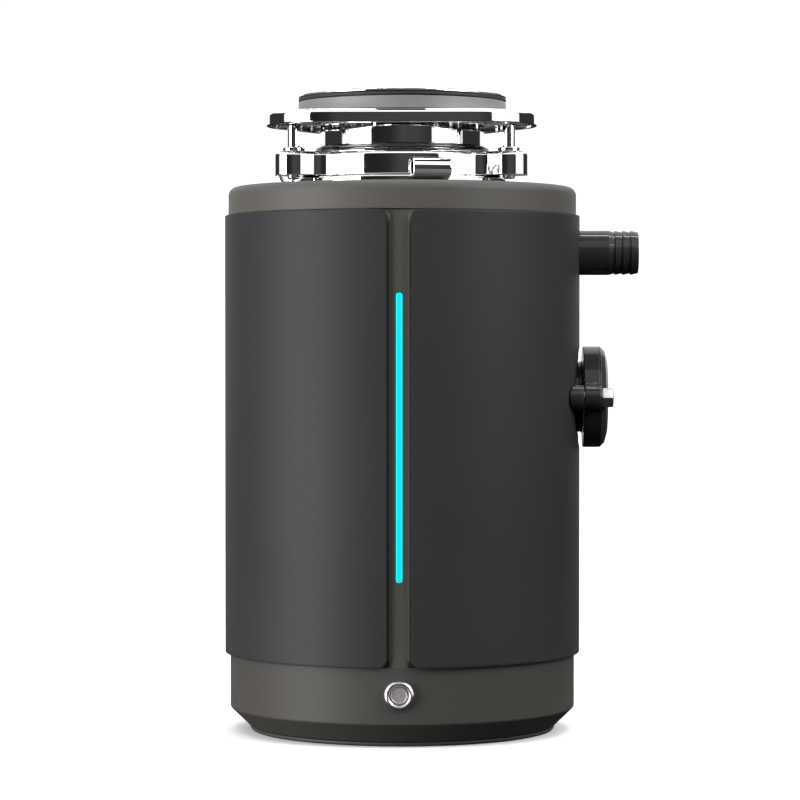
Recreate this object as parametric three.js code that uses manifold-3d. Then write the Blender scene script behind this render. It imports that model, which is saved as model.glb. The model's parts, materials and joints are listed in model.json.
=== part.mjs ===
// Kitchen food waste disposer with a three-screw quick-lock sink mount.
//
// Millimetres, +Z up. The origin is the middle of the flat underside, on the
// axis of the motor. The front (light bar, push button) faces -Y. The
// dishwasher inlet and the discharge outlet leave towards +X.

import * as THREE from 'three';
import { mergeVertices } from 'three/addons/utils/BufferGeometryUtils.js';
import Module from 'manifold-3d';

const wasm = await Module();
wasm.setup();

// ---------------------------------------------------------------- dimensions

const CLEAR = 0.3; // running and assembly gap between neighbouring pieces

// outer casing
const SKIN_R = 95.0;
const SKIN_T = 1.7;
const SKIN_Z0 = 41.3;
const SKIN_Z1 = 274.6;
const SKIN_GAP = 12.4; // open strip down the front
const SKIN_CORNER = 4.6;
const CAP_R = 93.1;
const CAP_TOP = 289.7;
const CAP_ROUND = 4.4;
const CAP_HOLE_R = 50.6;
const CAP_SKIRT = 267;
const BASE_R = 92.2;
const BASE_CHAMFER_Z = 12.3;
const BASE_FOOT_R = 81.8;
const BASE_BOTTOM = 2.3;
const BASE_TOP = 62;
const FOOT_R = 81.5;
const FOOT_T = 2.0;

// light bar in the front strip
const RAIL_FLOOR_W = 7.1;
const RAIL_FLOOR_Y = -91.9;
const RAIL_SHOULDER_Y = -94.2;
const LIGHT_W = 3.8;
const LIGHT_Z0 = 84.6;
const LIGHT_Z1 = 232.1;

// push button
const BUTTON_Z = 27.4;
const BUTTON_BEZEL_R = 7.7;
const BUTTON_CAP_R = 4.5;
const BUTTON_BARREL_R = 6.0;
const BUTTON_TRAVEL = 2.0;

// power cord inlet, at the back
const CORD_Z = 27;
const CORD_BORE_R = 5.2;

// sink mount
const SLEEVE_R = 43.9;
const THROAT_R = 41.5;
const SLEEVE_Z0 = 301.2;
const TOP_Z = 339.0;
const FLANGE_R = 55.6;
const SCREW_CIRCLE = 65.4;
const SCREW_AZ = [-30, 90, 210];
const SCREW_R = 3.25;
const UPPER_PLATE = { corner: 37.7, circle: 39.4, z0: 321.0, z1: 328.3, wall: 3.0, plate: 2.9 };
const LOWER_PLATE = { r0: 53.7, ear: 10.1, fillet: 6.5, z0: 294.6, z1: 307.2, hub: 308.3 };
const LOCK_LOOP_AZ = [-75.4, 44.6, 164.6];
const LOCK_LOOP_R = 5.45;
const LOCK_LOOP_BORE = 3.6;
const LOCK_LOOP_LEN = 20;
const LOCK_LOOP_CIRCLE = 62.3;
const LOCK_LOOP_Z = 297.3;
const NECK_R = 49.0;

// grinding chamber and drain
const HOPPER_R = 70.5;
const HOPPER_T = 2.8;
const HOPPER_Z0 = 201.3;
const JOIN_R = 79; // bolted flanges of hopper, drain chamber and lower end bell
const RING_INNER_R = 61.2;
const TABLE_R = 60.0;
const IMPELLER_PIVOT = 38;
const IMPELLER_AZ = [0, 180];

// side connections
const INLET_Z = 254.9;
const INLET_R = 11.9;
const INLET_BORE = 7.6;
const INLET_END = 126.3;
const OUTLET_Z = 177.8;
const OUTLET_R = 18.8;
const OUTLET_BORE = 15.5;
const OUTLET_FACE = 96.4;
const OUTLET_FLANGE_R = 27.0;
const OUTLET_BOLT_Y = 29.5;
const OUTLET_EAR_R = 6.6;
const SKIN_OUTLET_HOLE = 27.6;
const SKIN_INLET_HOLE = 12.7;

// motor
const STATOR_R = 62;
const STATOR_BORE = 33.6;
const STATOR_Z0 = 86;
const STATOR_Z1 = 140;
const ROTOR_R = 32.3;
const SHAFT_R = 6.0;
const SLOTS = 8;
const TIE_BOLT_CIRCLE = 74.8;
const TIE_BOLT_AZ = [60, 180, 300];

const SEG = 32; // casing and mount rings
const SEG_IN = 20; // chamber and motor
const SEG_SMALL = 12; // fasteners and small bores

// ------------------------------------------------------------------- helpers

const deg = (a) => (a * Math.PI) / 180;

// A closed three.js geometry as a solid for cutting and joining.
function solid(geometry) {
  let g = geometry.index ? geometry.toNonIndexed() : geometry.clone();
  for (const key of Object.keys(g.attributes)) if (key !== 'position') g.deleteAttribute(key);
  g = mergeVertices(g, 1e-4);
  const p = g.attributes.position.array;
  const tri = [];
  const ix = g.index.array;
  for (let i = 0; i < ix.length; i += 3) {
    const [a, b, c] = [ix[i], ix[i + 1], ix[i + 2]];
    if (a !== b && b !== c && a !== c) tri.push(a, b, c);
  }
  let volume = 0;
  const v = (i) => new THREE.Vector3(p[3 * i], p[3 * i + 1], p[3 * i + 2]);
  for (let i = 0; i < tri.length; i += 3) volume += v(tri[i]).dot(v(tri[i + 1]).cross(v(tri[i + 2])));
  if (volume < 0) for (let i = 0; i < tri.length; i += 3) [tri[i + 1], tri[i + 2]] = [tri[i + 2], tri[i + 1]];
  return new wasm.Manifold(
    new wasm.Mesh({ numProp: 3, vertProperties: new Float32Array(p), triVerts: new Uint32Array(tri) }),
  );
}

function geometryOf(manifold) {
  const mesh = manifold.getMesh();
  const g = new THREE.BufferGeometry();
  g.setAttribute('position', new THREE.BufferAttribute(new Float32Array(mesh.vertProperties), 3));
  g.setIndex(new THREE.BufferAttribute(new Uint32Array(mesh.triVerts), 1));
  g.computeVertexNormals();
  return g;
}

// Turned about +Z: a closed loop of [radius, height].
function turned(profile, segments = SEG) {
  const pts = profile.map(([r, z]) => new THREE.Vector2(r, z));
  const closed = pts[0].x === 0 && pts[pts.length - 1].x === 0;
  if (!closed) pts.push(pts[0].clone());
  return solid(new THREE.LatheGeometry(pts, segments).rotateX(Math.PI / 2));
}

// A solid rod along +Z from z0 to z1.
const rod = (r, z0, z1, segments = SEG_SMALL, x = 0, y = 0) =>
  solid(new THREE.CylinderGeometry(r, r, z1 - z0, segments).rotateX(Math.PI / 2).translate(x, y, (z0 + z1) / 2));

// The same rod lying along +X or +Y.
const rodX = (r, x0, x1, y, z, segments = SEG_SMALL) =>
  solid(new THREE.CylinderGeometry(r, r, x1 - x0, segments).rotateZ(Math.PI / 2).translate((x0 + x1) / 2, y, z));
const rodY = (r, y0, y1, x, z, segments = SEG_SMALL) =>
  solid(new THREE.CylinderGeometry(r, r, y1 - y0, segments).translate(x, (y0 + y1) / 2, z));

const block = (x0, x1, y0, y1, z0, z1, turn = 0) => {
  const g = new THREE.BoxGeometry(x1 - x0, y1 - y0, z1 - z0).translate((x0 + x1) / 2, (y0 + y1) / 2, (z0 + z1) / 2);
  return solid(turn ? g.rotateZ(deg(turn)) : g);
};

// A flat outline (with optional holes) raised from z0 to z1.
function raised(shape, z0, z1, bevel = 0, steps = 2) {
  const options = bevel
    ? { depth: z1 - z0 - 2 * bevel, bevelEnabled: true, bevelThickness: bevel, bevelSize: bevel, bevelOffset: -bevel, bevelSegments: steps, curveSegments: 10 }
    : { depth: z1 - z0, bevelEnabled: false, curveSegments: 10 };
  return solid(new THREE.ExtrudeGeometry(shape, options).translate(0, 0, z0 + bevel));
}

const hexagon = (across, holeR = 0) => {
  const r = across / Math.sqrt(3);
  const shape = new THREE.Shape(
    [0, 1, 2, 3, 4, 5].map((i) => new THREE.Vector2(r * Math.cos(deg(60 * i)), r * Math.sin(deg(60 * i)))),
  );
  if (holeR) shape.holes.push(new THREE.Path().absarc(0, 0, holeR, 0, 2 * Math.PI, true));
  return shape;
};

function arc(points, cx, cy, r, a0, a1, step = 15) {
  const n = Math.max(1, Math.ceil(Math.abs(a1 - a0) / step));
  for (let i = 0; i <= n; i++) {
    const a = deg(a0 + ((a1 - a0) * i) / n);
    const p = new THREE.Vector2(cx + r * Math.cos(a), cy + r * Math.sin(a));
    const last = points[points.length - 1];
    if (!last || last.distanceTo(p) > 1e-3) points.push(p);
  }
}

// A round plate with one lobe around each screw, joined by hollow fillets.
function lobedOutline(r0, lobe, fillet, azimuths = SCREW_AZ, circle = SCREW_CIRCLE) {
  const d1 = r0 + fillet;
  const d2 = lobe + fillet;
  const alpha = (Math.acos((circle ** 2 + d1 ** 2 - d2 ** 2) / (2 * circle * d1)) * 180) / Math.PI;
  const pts = [];
  azimuths.forEach((az, i) => {
    const lx = circle * Math.cos(deg(az));
    const ly = circle * Math.sin(deg(az));
    const toward = (s) => {
      const fx = d1 * Math.cos(deg(az + s * alpha));
      const fy = d1 * Math.sin(deg(az + s * alpha));
      return [fx, fy, (Math.atan2(ly - fy, lx - fx) * 180) / Math.PI];
    };
    const [ax, ay, aa] = toward(-1);
    const [bx, by, ba] = toward(1);
    const swing = (from, to) => ((((to - from) % 360) + 540) % 360) - 180;
    const start = az - alpha + 180;
    arc(pts, ax, ay, fillet, start, start + swing(start, aa));
    arc(pts, lx, ly, lobe, aa + 180, aa + 180 + ((((ba - aa) % 360) + 360) % 360), 18);
    const end = az + alpha + 180;
    arc(pts, bx, by, fillet, end - swing(ba, end), end);
    const next = azimuths[(i + 1) % azimuths.length] + (i + 1 === azimuths.length ? 360 : 0);
    arc(pts, 0, 0, r0, az + alpha, next - alpha);
  });
  if (pts[0].distanceTo(pts[pts.length - 1]) < 1e-3) pts.pop();
  return new THREE.Shape(pts);
}

// A triangle with wide round corners, one around each screw.
function triangleOutline(corner, circle) {
  const pts = [];
  for (const az of SCREW_AZ) arc(pts, circle * Math.cos(deg(az)), circle * Math.sin(deg(az)), corner, az - 60, az + 60, 12);
  return new THREE.Shape(pts);
}

// A disc with one straight-sided ear running out to each screw.
function earOutline(r0, ear, fillet, circle = SCREW_CIRCLE) {
  const along = Math.sqrt((r0 + fillet) ** 2 - (ear + fillet) ** 2);
  const beta = (Math.atan2(ear + fillet, along) * 180) / Math.PI;
  const pts = [];
  SCREW_AZ.forEach((az, i) => {
    const spot = (s) => [
      along * Math.cos(deg(az)) - s * (ear + fillet) * Math.sin(deg(az)),
      along * Math.sin(deg(az)) + s * (ear + fillet) * Math.cos(deg(az)),
    ];
    arc(pts, ...spot(-1), fillet, az + 180 - beta, az + 90, 20);
    arc(pts, circle * Math.cos(deg(az)), circle * Math.sin(deg(az)), ear, az - 90, az + 90, 18);
    arc(pts, ...spot(1), fillet, az - 90, az + beta - 180, 20);
    const next = SCREW_AZ[(i + 1) % SCREW_AZ.length] + (i + 1 === SCREW_AZ.length ? 360 : 0);
    arc(pts, 0, 0, r0, az + beta, next - beta);
  });
  if (pts[0].distanceTo(pts[pts.length - 1]) < 1e-3) pts.pop();
  return new THREE.Shape(pts);
}

const object = new THREE.Group();
object.name = 'food_waste_disposer';

const finish = (color, roughness, metalness) => new THREE.MeshStandardMaterial({ color, roughness, metalness });

function piece(name, made, material, parent = object) {
  const mesh = new THREE.Mesh(geometryOf(made), material.clone());
  mesh.name = name;
  parent.add(mesh);
  return mesh;
}

// finishes
const charcoal = finish(0x3c3d3d, 0.62, 0.0);
const bronze = finish(0x5c5953, 0.55, 0.25);
const chrome = finish(0xdcdcdc, 0.06, 1.0);
const satin = finish(0x8c8c8c, 0.4, 0.3);
const gunmetal = finish(0x46474a, 0.3, 0.9);
const black = finish(0x241f24, 0.35, 0.0);
const rubber = finish(0x1c1c1c, 0.8, 0.0);
const steel = finish(0xb4b6b8, 0.3, 1.0);
const castIron = finish(0x6b6d6f, 0.6, 0.8);
const aluminium = finish(0xa6a8aa, 0.5, 0.9);
const copper = finish(0xb06a3a, 0.4, 0.8);
const foam = finish(0x57595b, 0.95, 0.0);
const board = finish(0x1f5a3a, 0.6, 0.0);
const light = new THREE.MeshStandardMaterial({ color: 0x00e0f0, roughness: 0.4, metalness: 0, emissive: 0x00e0f0, emissiveIntensity: 1 });

// ------------------------------------------------------------- outer casing

{
  const inner = SKIN_R - SKIN_T;
  let skin = turned([[inner, SKIN_Z0], [SKIN_R, SKIN_Z0], [SKIN_R, SKIN_Z1], [inner, SKIN_Z1]], 48);
  // front strip, flared where the panel corners are rounded
  const h = SKIN_GAP / 2;
  const c = SKIN_CORNER;
  const pts = [new THREE.Vector2(h + c, SKIN_Z0 - 4)];
  arc(pts, h + c, SKIN_Z0 + c, c, 270, 180, 22.5);
  arc(pts, h + c, SKIN_Z1 - c, c, 180, 90, 22.5);
  pts.push(new THREE.Vector2(h + c, SKIN_Z1 + 4));
  const outline = [...pts, ...pts.map((p) => new THREE.Vector2(-p.x, p.y)).reverse()];
  const strip = solid(
    new THREE.ExtrudeGeometry(new THREE.Shape(outline), { depth: 30, bevelEnabled: false }).rotateX(Math.PI / 2).translate(0, -70, 0),
  );
  skin = skin
    .subtract(strip)
    .subtract(rodX(SKIN_OUTLET_HOLE, 60, 120, 0, OUTLET_Z, 24))
    .subtract(rodX(SKIN_INLET_HOLE, 60, 120, 0, INLET_Z, 16));
  piece('outer_skin', skin, charcoal);
}

{
  const r = CAP_R - CAP_ROUND;
  const z = CAP_TOP - CAP_ROUND;
  const rounding = [30, 60].map((a) => [r + CAP_ROUND * Math.cos(deg(a)), z + CAP_ROUND * Math.sin(deg(a))]);
  piece(
    'top_cap',
    turned([
      [90.2, CAP_SKIRT], [92.8, CAP_SKIRT], [92.8, SKIN_Z1], [CAP_R, SKIN_Z1 + 0.3], [CAP_R, z], ...rounding, [r, CAP_TOP],
      [CAP_HOLE_R, CAP_TOP], [CAP_HOLE_R, CAP_TOP - 2.6], [86.6, CAP_TOP - 2.6], [90.2, CAP_TOP - 6.2],
    ]).subtract(block(-14.4, 14.4, -100, -85, CAP_SKIRT - 2, SKIN_Z1)),
    bronze,
  );
}

{
  // channel behind the open strip: sunk floor, curved flanks up to the skin edges
  const outer = 92.9;
  const back = 89.8;
  const flank = SKIN_GAP / 2 - CLEAR;
  const floor = RAIL_FLOOR_W / 2;
  const at = (r, x) => new THREE.Vector2(x, -Math.sqrt(r * r - x * x));
  const right = [];
  right.push(new THREE.Vector2(floor, RAIL_FLOOR_Y));
  for (const t of [0.35, 0.7, 1]) {
    right.push(new THREE.Vector2(floor + (flank - floor) * Math.sin((t * Math.PI) / 2), RAIL_FLOOR_Y + (RAIL_SHOULDER_Y - RAIL_FLOOR_Y) * (1 - Math.cos((t * Math.PI) / 2))));
  }
  right.push(at(outer, flank), at(outer, 10), at(outer, 14), at(back, 14), at(back, 7));
  const left = right.map((p) => new THREE.Vector2(-p.x, p.y)).reverse();
  const rail = raised(new THREE.Shape([...right, ...left]), SKIN_Z0 + CLEAR, SKIN_Z1 - CLEAR);
  const slot = block(-LIGHT_W / 2 - CLEAR, LIGHT_W / 2 + CLEAR, -100, -80, LIGHT_Z0 - CLEAR, LIGHT_Z1 + CLEAR);
  piece('front_rail', rail.subtract(slot), bronze);
}

{
  const w = LIGHT_W / 2;
  const r = 1.2;
  const pts = [];
  arc(pts, w - r, LIGHT_Z1 - r, r, 0, 90, 30);
  arc(pts, -w + r, LIGHT_Z1 - r, r, 90, 180, 30);
  arc(pts, -w + r, LIGHT_Z0 + r, r, 180, 270, 30);
  arc(pts, w - r, LIGHT_Z0 + r, r, 270, 360, 30);
  const bar = solid(new THREE.ExtrudeGeometry(new THREE.Shape(pts), { depth: 3.9, bevelEnabled: false }).rotateX(Math.PI / 2).translate(0, -88.3, 0));
  piece('light_diffuser', bar, light);
  let strip = block(-4.5, 4.5, -87.9, -86.3, 78, 238);
  for (let i = 0; i < 7; i++) strip = strip.add(block(-2, 2, -86.5, -84.9, 90 + i * 22, 95 + i * 22));
  piece('light_board', strip, board);
}

{
  let base = turned([
    [70, BASE_BOTTOM], [BASE_FOOT_R, BASE_BOTTOM], [BASE_R, BASE_CHAMFER_Z], [BASE_R, BASE_TOP],
    [BASE_R - 2.8, BASE_TOP], [BASE_R - 2.8, 13.6], [80.4, 5.1], [70, 5.1],
  ]);
  base = base.subtract(rodY(BUTTON_BARREL_R + CLEAR, -110, -80, 0, BUTTON_Z, 16)).subtract(rodY(8.9, 80, 110, 0, CORD_Z, 16));
  base = base.subtract(block(-14.4, 14.4, -100, -85, SKIN_Z0, BASE_TOP + 2));
  for (const az of [90, 210, 330]) base = base.subtract(rod(2.3, 0, 12, 8, 75 * Math.cos(deg(az)), 75 * Math.sin(deg(az))));
  piece('base_housing', base, bronze);
}

{
  let cover = turned([[0, 0], [FOOT_R, 0], [FOOT_R, FOOT_T], [69.4, FOOT_T], [69.4, 4.6], [0, 4.6]]);
  // cooling slots and screw holes
  for (let i = 0; i < 6; i++) cover = cover.subtract(block(34, 58, -2.6, 2.6, -1, 8, 30 + 60 * i));
  for (const az of [90, 210, 330]) {
    const [x, y] = [75 * Math.cos(deg(az)), 75 * Math.sin(deg(az))];
    cover = cover.subtract(rod(2.3, -1, 3, 8, x, y)).subtract(rod(4.4, -1, 1.3, 12, x, y));
  }
  piece('bottom_cover', cover, bronze);
  [90, 210, 330].forEach((az, i) => {
    const screw = turned([[0, 0.2], [3.9, 0.2], [3.9, 1.0], [1.9, 1.0], [1.9, 9.5], [0, 9.5]], 8);
    const m = piece(`base_screw_${i + 1}`, screw, steel);
    m.position.set(75 * Math.cos(deg(az)), 75 * Math.sin(deg(az)), 0);
  });
}

// -------------------------------------------------------------- push button

const button = new THREE.Group();
button.position.set(0, -(BASE_R + 0.2), BUTTON_Z);
button.rotation.x = Math.PI / 2; // local +Z points out of the front
object.add(button);
{
  const bore = BUTTON_CAP_R + CLEAR;
  piece(
    'button_bezel',
    turned([
      [bore, 2.0], [bore, -12.9], [2.2, -12.9], [2.2, -15], [BUTTON_BARREL_R, -15], [BUTTON_BARREL_R, 0],
      [BUTTON_BEZEL_R, 0], [BUTTON_BEZEL_R, 1.4], [6.6, 2.6], [5.4, 2.6],
    ], 16),
    chrome, button,
  );
  piece('button_plunger', turned([[0, -12.2], [1.5, -12.2], [1.5, -8.2], [BUTTON_CAP_R, -8.2], [BUTTON_CAP_R, 1.8], [0, 1.8]], 16), satin, button);
  const coil = new (class extends THREE.Curve {
    getPoint(t, target = new THREE.Vector3()) {
      const a = 2 * Math.PI * 2.5 * t;
      return target.set(3.1 * Math.cos(a), 3.1 * Math.sin(a), -12.1 + 3.1 * t);
    }
  })();
  const wire = new THREE.Shape([0, 1, 2, 3].map((i) => new THREE.Vector2(0.38 * Math.cos(deg(90 * i)), 0.38 * Math.sin(deg(90 * i)))));
  piece('button_spring', solid(new THREE.ExtrudeGeometry(wire, { steps: 20, extrudePath: coil, bevelEnabled: false })), steel, button);
  const nut = hexagon(14, BUTTON_BARREL_R + CLEAR);
  piece('button_nut', raised(nut, -6.8, -3.8), steel, button);
  piece(
    'button_switch',
    turned([[0, -24], [5.6, -24], [5.6, -15.4], [0, -15.4]], 12)
      .add(block(-3.4, -2.6, -1.4, 1.4, -30, -23.5))
      .add(block(2.6, 3.4, -1.4, 1.4, -30, -23.5)),
    black, button,
  );
}

// ---------------------------------------------------------- cord inlet bush

const cordInlet = new THREE.Group();
cordInlet.position.set(0, BASE_R + 0.1, CORD_Z);
cordInlet.rotation.x = -Math.PI / 2; // local +Z points out of the back
object.add(cordInlet);
piece(
  'cord_inlet_bush',
  turned([
    [CORD_BORE_R, -7.5], [9.8, -7.5], [10.2, -5.2], [8.5, -4.8], [8.5, 0], [11.5, 0], [11.5, 1.6], [10, 2.5], [CORD_BORE_R, 2.5],
  ], 16),
  rubber, cordInlet,
);

// --------------------------------------------------------------- sink mount

piece(
  'sink_flange',
  turned([
    [THROAT_R, SLEEVE_Z0], [SLEEVE_R, SLEEVE_Z0], [SLEEVE_R, 308.4], [42.9, 308.7], [42.9, 311.1], [SLEEVE_R, 311.4],
    [SLEEVE_R, 335.7], [45.9, 337.7], [FLANGE_R, 337.7], [FLANGE_R, 338.4], [FLANGE_R - 0.6, TOP_Z],
    [46.8, TOP_Z], [45, 338.3], [43, 336.3], [THROAT_R, 333.5],
  ]),
  steel,
);
piece('sink_gasket', turned([[46.2, 335.5], [FLANGE_R, 335.5], [FLANGE_R, 337.4], [46.2, 337.4]]), rubber);
piece('fibre_gasket', turned([[44.4, 328.6], [FLANGE_R, 328.6], [FLANGE_R, 335.2], [44.4, 335.2]]), satin);

{
  const p = UPPER_PLATE;
  const plate = raised(triangleOutline(p.corner, p.circle), p.z0 - 3, p.z1, 2.5, 1)
    .subtract(block(-100, 100, -100, 100, p.z0 - 10, p.z0))
    .subtract(raised(triangleOutline(p.corner - p.wall, p.circle), p.z0 - 2, p.z1 - p.plate))
    .subtract(rod(44.4, p.z0 - 2, p.z1 + 2, SEG));
  piece('upper_mounting_plate', plate, chrome);
}
{
  const p = LOWER_PLATE;
  let plate = raised(earOutline(p.r0, p.ear, p.fillet), p.z0 - 3, p.z1, 2.6, 1)
    .subtract(block(-100, 100, -100, 100, p.z0 - 10, p.z0))
    .add(turned([[43, 305.5], [52, 305.5], [52, 307.6], [50, p.hub], [43, p.hub]]))
    .subtract(rod(52.0, p.z0 - 10, 305.2, SEG))
    .subtract(rod(44.6, p.z0 - 10, p.z1 + 10, SEG));
  for (const az of SCREW_AZ) plate = plate.subtract(rod(SCREW_R + CLEAR, p.z0 - 5, p.z1 + 5, 12, SCREW_CIRCLE * Math.cos(deg(az)), SCREW_CIRCLE * Math.sin(deg(az))));
  piece('lower_mounting_plate', plate, chrome);
}
SCREW_AZ.forEach((az, i) => {
  const slot = block(-8, 8, -0.6, 0.6, 290, 294.4);
  const screw = turned([[0, 292.8], [SCREW_R, 292.8], [SCREW_R, 307.5], [5.8, 307.5], [5.8, 309.4], [SCREW_R, 309.4], [SCREW_R, 325.2], [0, 325.2]], 12).subtract(slot);
  const m = piece(`mounting_screw_${i + 1}`, screw, chrome);
  m.position.set(SCREW_CIRCLE * Math.cos(deg(az)), SCREW_CIRCLE * Math.sin(deg(az)), 0);
});
{
  // split ring in the groove of the sleeve
  const pts = [];
  arc(pts, 0, 0, 46.4, 97, 443, 15);
  arc(pts, 0, 0, 43.4, 443, 97, 15);
  piece('snap_ring', raised(new THREE.Shape(pts), 309, 310.8), steel);
}

const lockRing = new THREE.Group();
object.add(lockRing);
{
  let ring = turned([[49.8, 290.3], [58, 290.3], [58, 293.9], [51.6, 294.3], [51.6, 304.6], [49.8, 304.6]]);
  for (const az of LOCK_LOOP_AZ) {
    const half = LOCK_LOOP_LEN / 2;
    const place = (g) => solid(g.rotateZ(deg(az)));
    const tube = new THREE.CylinderGeometry(LOCK_LOOP_R, LOCK_LOOP_R, LOCK_LOOP_LEN, 16).translate(LOCK_LOOP_CIRCLE, 0, LOCK_LOOP_Z);
    const hole = new THREE.CylinderGeometry(LOCK_LOOP_BORE, LOCK_LOOP_BORE, LOCK_LOOP_LEN + 4, 10).translate(LOCK_LOOP_CIRCLE, 0, LOCK_LOOP_Z);
    const strap = new THREE.BoxGeometry(LOCK_LOOP_CIRCLE - 54, LOCK_LOOP_LEN, 2.2).translate((LOCK_LOOP_CIRCLE + 54) / 2, 0, 291.9);
    ring = ring.add(place(strap)).add(place(tube)).subtract(place(hole));
  }
  piece('lock_ring', ring, chrome, lockRing);
}

{
  let baffle = turned([
    [49.3, 293.4], [49.3, 300.8], [41.2, 300.8], [19.4, 291.2], [19.4, 289.4], [38.5, 296.4], [45, 293.4],
  ]);
  for (let i = 0; i < 6; i++) baffle = baffle.subtract(block(10, 35, -0.7, 0.7, 280, 305, 30 + 60 * i));
  piece('splash_baffle', baffle, rubber);
}

// ------------------------------------------------- grinding chamber and drain

{
  const r = HOPPER_R;
  const ri = HOPPER_R - HOPPER_T;
  let hopper = turned([
    [ri, HOPPER_Z0], [JOIN_R, HOPPER_Z0], [JOIN_R, 208.3], [r, 208.3], [r, 266.5], [NECK_R, 281], [NECK_R, 293],
    [46.2, 293], [46.2, 279.6], [ri, 265.2],
  ], SEG_IN);
  hopper = hopper
    .add(rodX(15.5, 64, 78, 0, INLET_Z, 16).subtract(rod(ri + 1, 200, 300, SEG_IN)))
    .subtract(rodX(INLET_R + CLEAR, 71.4, 90, 0, INLET_Z, 16))
    .subtract(rodX(8, 50, 90, 0, INLET_Z, 12));
  for (const az of TIE_BOLT_AZ) hopper = hopper.subtract(rod(2.9, 190, 215, 8, TIE_BOLT_CIRCLE * Math.cos(deg(az)), TIE_BOLT_CIRCLE * Math.sin(deg(az))));
  piece('hopper', hopper, steel);
}
{
  let ring = turned([[RING_INNER_R, 203], [67.2, 203], [67.2, 226], [RING_INNER_R, 226]], SEG_IN);
  for (let i = 0; i < 12; i++) ring = ring.subtract(block(58, 64.4, -1.8, 1.8, 200, 216, 7.5 + 30 * i));
  piece('shredder_ring', ring, castIron);
}

const spinning = new THREE.Group();
object.add(spinning);
{
  let table = turned([
    [SHAFT_R + CLEAR, 203], [11, 203], [11, 207], [57.5, 207], [57.5, 204], [TABLE_R, 204], [TABLE_R, 209.6], [11, 209.6], [11, 212], [SHAFT_R + CLEAR, 212],
  ], SEG_IN);
  for (let i = 0; i < 12; i++) if (i % 2) table = table.subtract(rod(2.4, 200, 215, 8, 50 * Math.cos(deg(30 * i)), 50 * Math.sin(deg(30 * i))));
  for (const az of IMPELLER_AZ) table = table.subtract(rod(3.3, 200, 215, 12, IMPELLER_PIVOT * Math.cos(deg(az)), IMPELLER_PIVOT * Math.sin(deg(az))));
  piece('turntable', table, steel, spinning);

  IMPELLER_AZ.forEach((az, i) => {
    const seat = new THREE.Group();
    seat.position.set(IMPELLER_PIVOT * Math.cos(deg(az)), IMPELLER_PIVOT * Math.sin(deg(az)), 0);
    seat.rotation.z = deg(az);
    spinning.add(seat);
    piece(`impeller_pin_${i + 1}`, turned([[0, 204.6], [4.6, 204.6], [4.6, 206.7], [3, 206.7], [3, 213.5], [5.4, 213.5], [4.6, 215.6], [0, 215.6]], 12), steel, seat);
    // swivelling lug: flat eye around the pin, hammer at the free end
    const pts = [];
    arc(pts, 0, 0, 7.5, 96, 264, 28);
    arc(pts, 13.4, 0, 6, 276, 444, 28);
    const hammer = [];
    arc(hammer, 13.4, 0, 6, 276, 444, 28);
    hammer.push(new THREE.Vector2(8, 5.6), new THREE.Vector2(8, -5.6));
    const lug = raised(new THREE.Shape(pts), 210, 213.1).add(raised(new THREE.Shape(hammer), 210, 223)).subtract(rod(3.4, 205, 218, 12));
    piece(`impeller_${i + 1}`, lug, steel, seat);
  });

  piece('turntable_nut', raised(hexagon(18, SHAFT_R + CLEAR), 212.3, 219), steel, spinning);
  piece(
    'motor_shaft',
    turned([[0, 55], [SHAFT_R, 55], [SHAFT_R, 72], [8.5, 72.6], [8.5, 147.4], [SHAFT_R, 148], [SHAFT_R, 221.5], [0, 221.5]], 16),
    steel, spinning,
  );
  piece(
    'rotor_core',
    turned([[8.8, 84], [22, 84], [22, 79], [29, 79], [ROTOR_R, 84], [ROTOR_R, 142], [29, 147], [22, 147], [22, 142], [8.8, 142]], SEG_IN),
    aluminium, spinning,
  );
}

{
  let chamber = turned([
    [17, 149.6], [17, 159.2], [66.5, 159.2], [HOPPER_R, 163], [HOPPER_R, 196], [JOIN_R, 196], [JOIN_R, 200.9],
    [67.5, 200.9], [67.5, 167.4], [64, 164], [14, 164], [14, 184], [9.5, 184], [9.5, 172], [7.2, 172], [7.2, 158.6], [13.3, 158.6], [13.3, 149.6],
  ], SEG_IN);
  chamber = chamber
    .add(rodX(22.5, 62, 78, 0, OUTLET_Z, 20).subtract(rod(68.5, 140, 210, SEG_IN)))
    .subtract(rodX(OUTLET_R + CLEAR, 71.6, 90, 0, OUTLET_Z, 20))
    .subtract(rodX(OUTLET_BORE, 50, 90, 0, OUTLET_Z, 16))
    .subtract(block(60, 90, -30, 30, 201.2, 210));
  for (const az of TIE_BOLT_AZ) chamber = chamber.subtract(rod(2.9, 190, 205, 8, TIE_BOLT_CIRCLE * Math.cos(deg(az)), TIE_BOLT_CIRCLE * Math.sin(deg(az))));
  piece('drain_chamber', chamber, aluminium);
  piece('shaft_seal', turned([[6.5, 172.4], [9.2, 172.4], [9.2, 183.6], [6.5, 183.6]], 16), rubber);
}

// ---------------------------------------------------------- side connections

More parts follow.
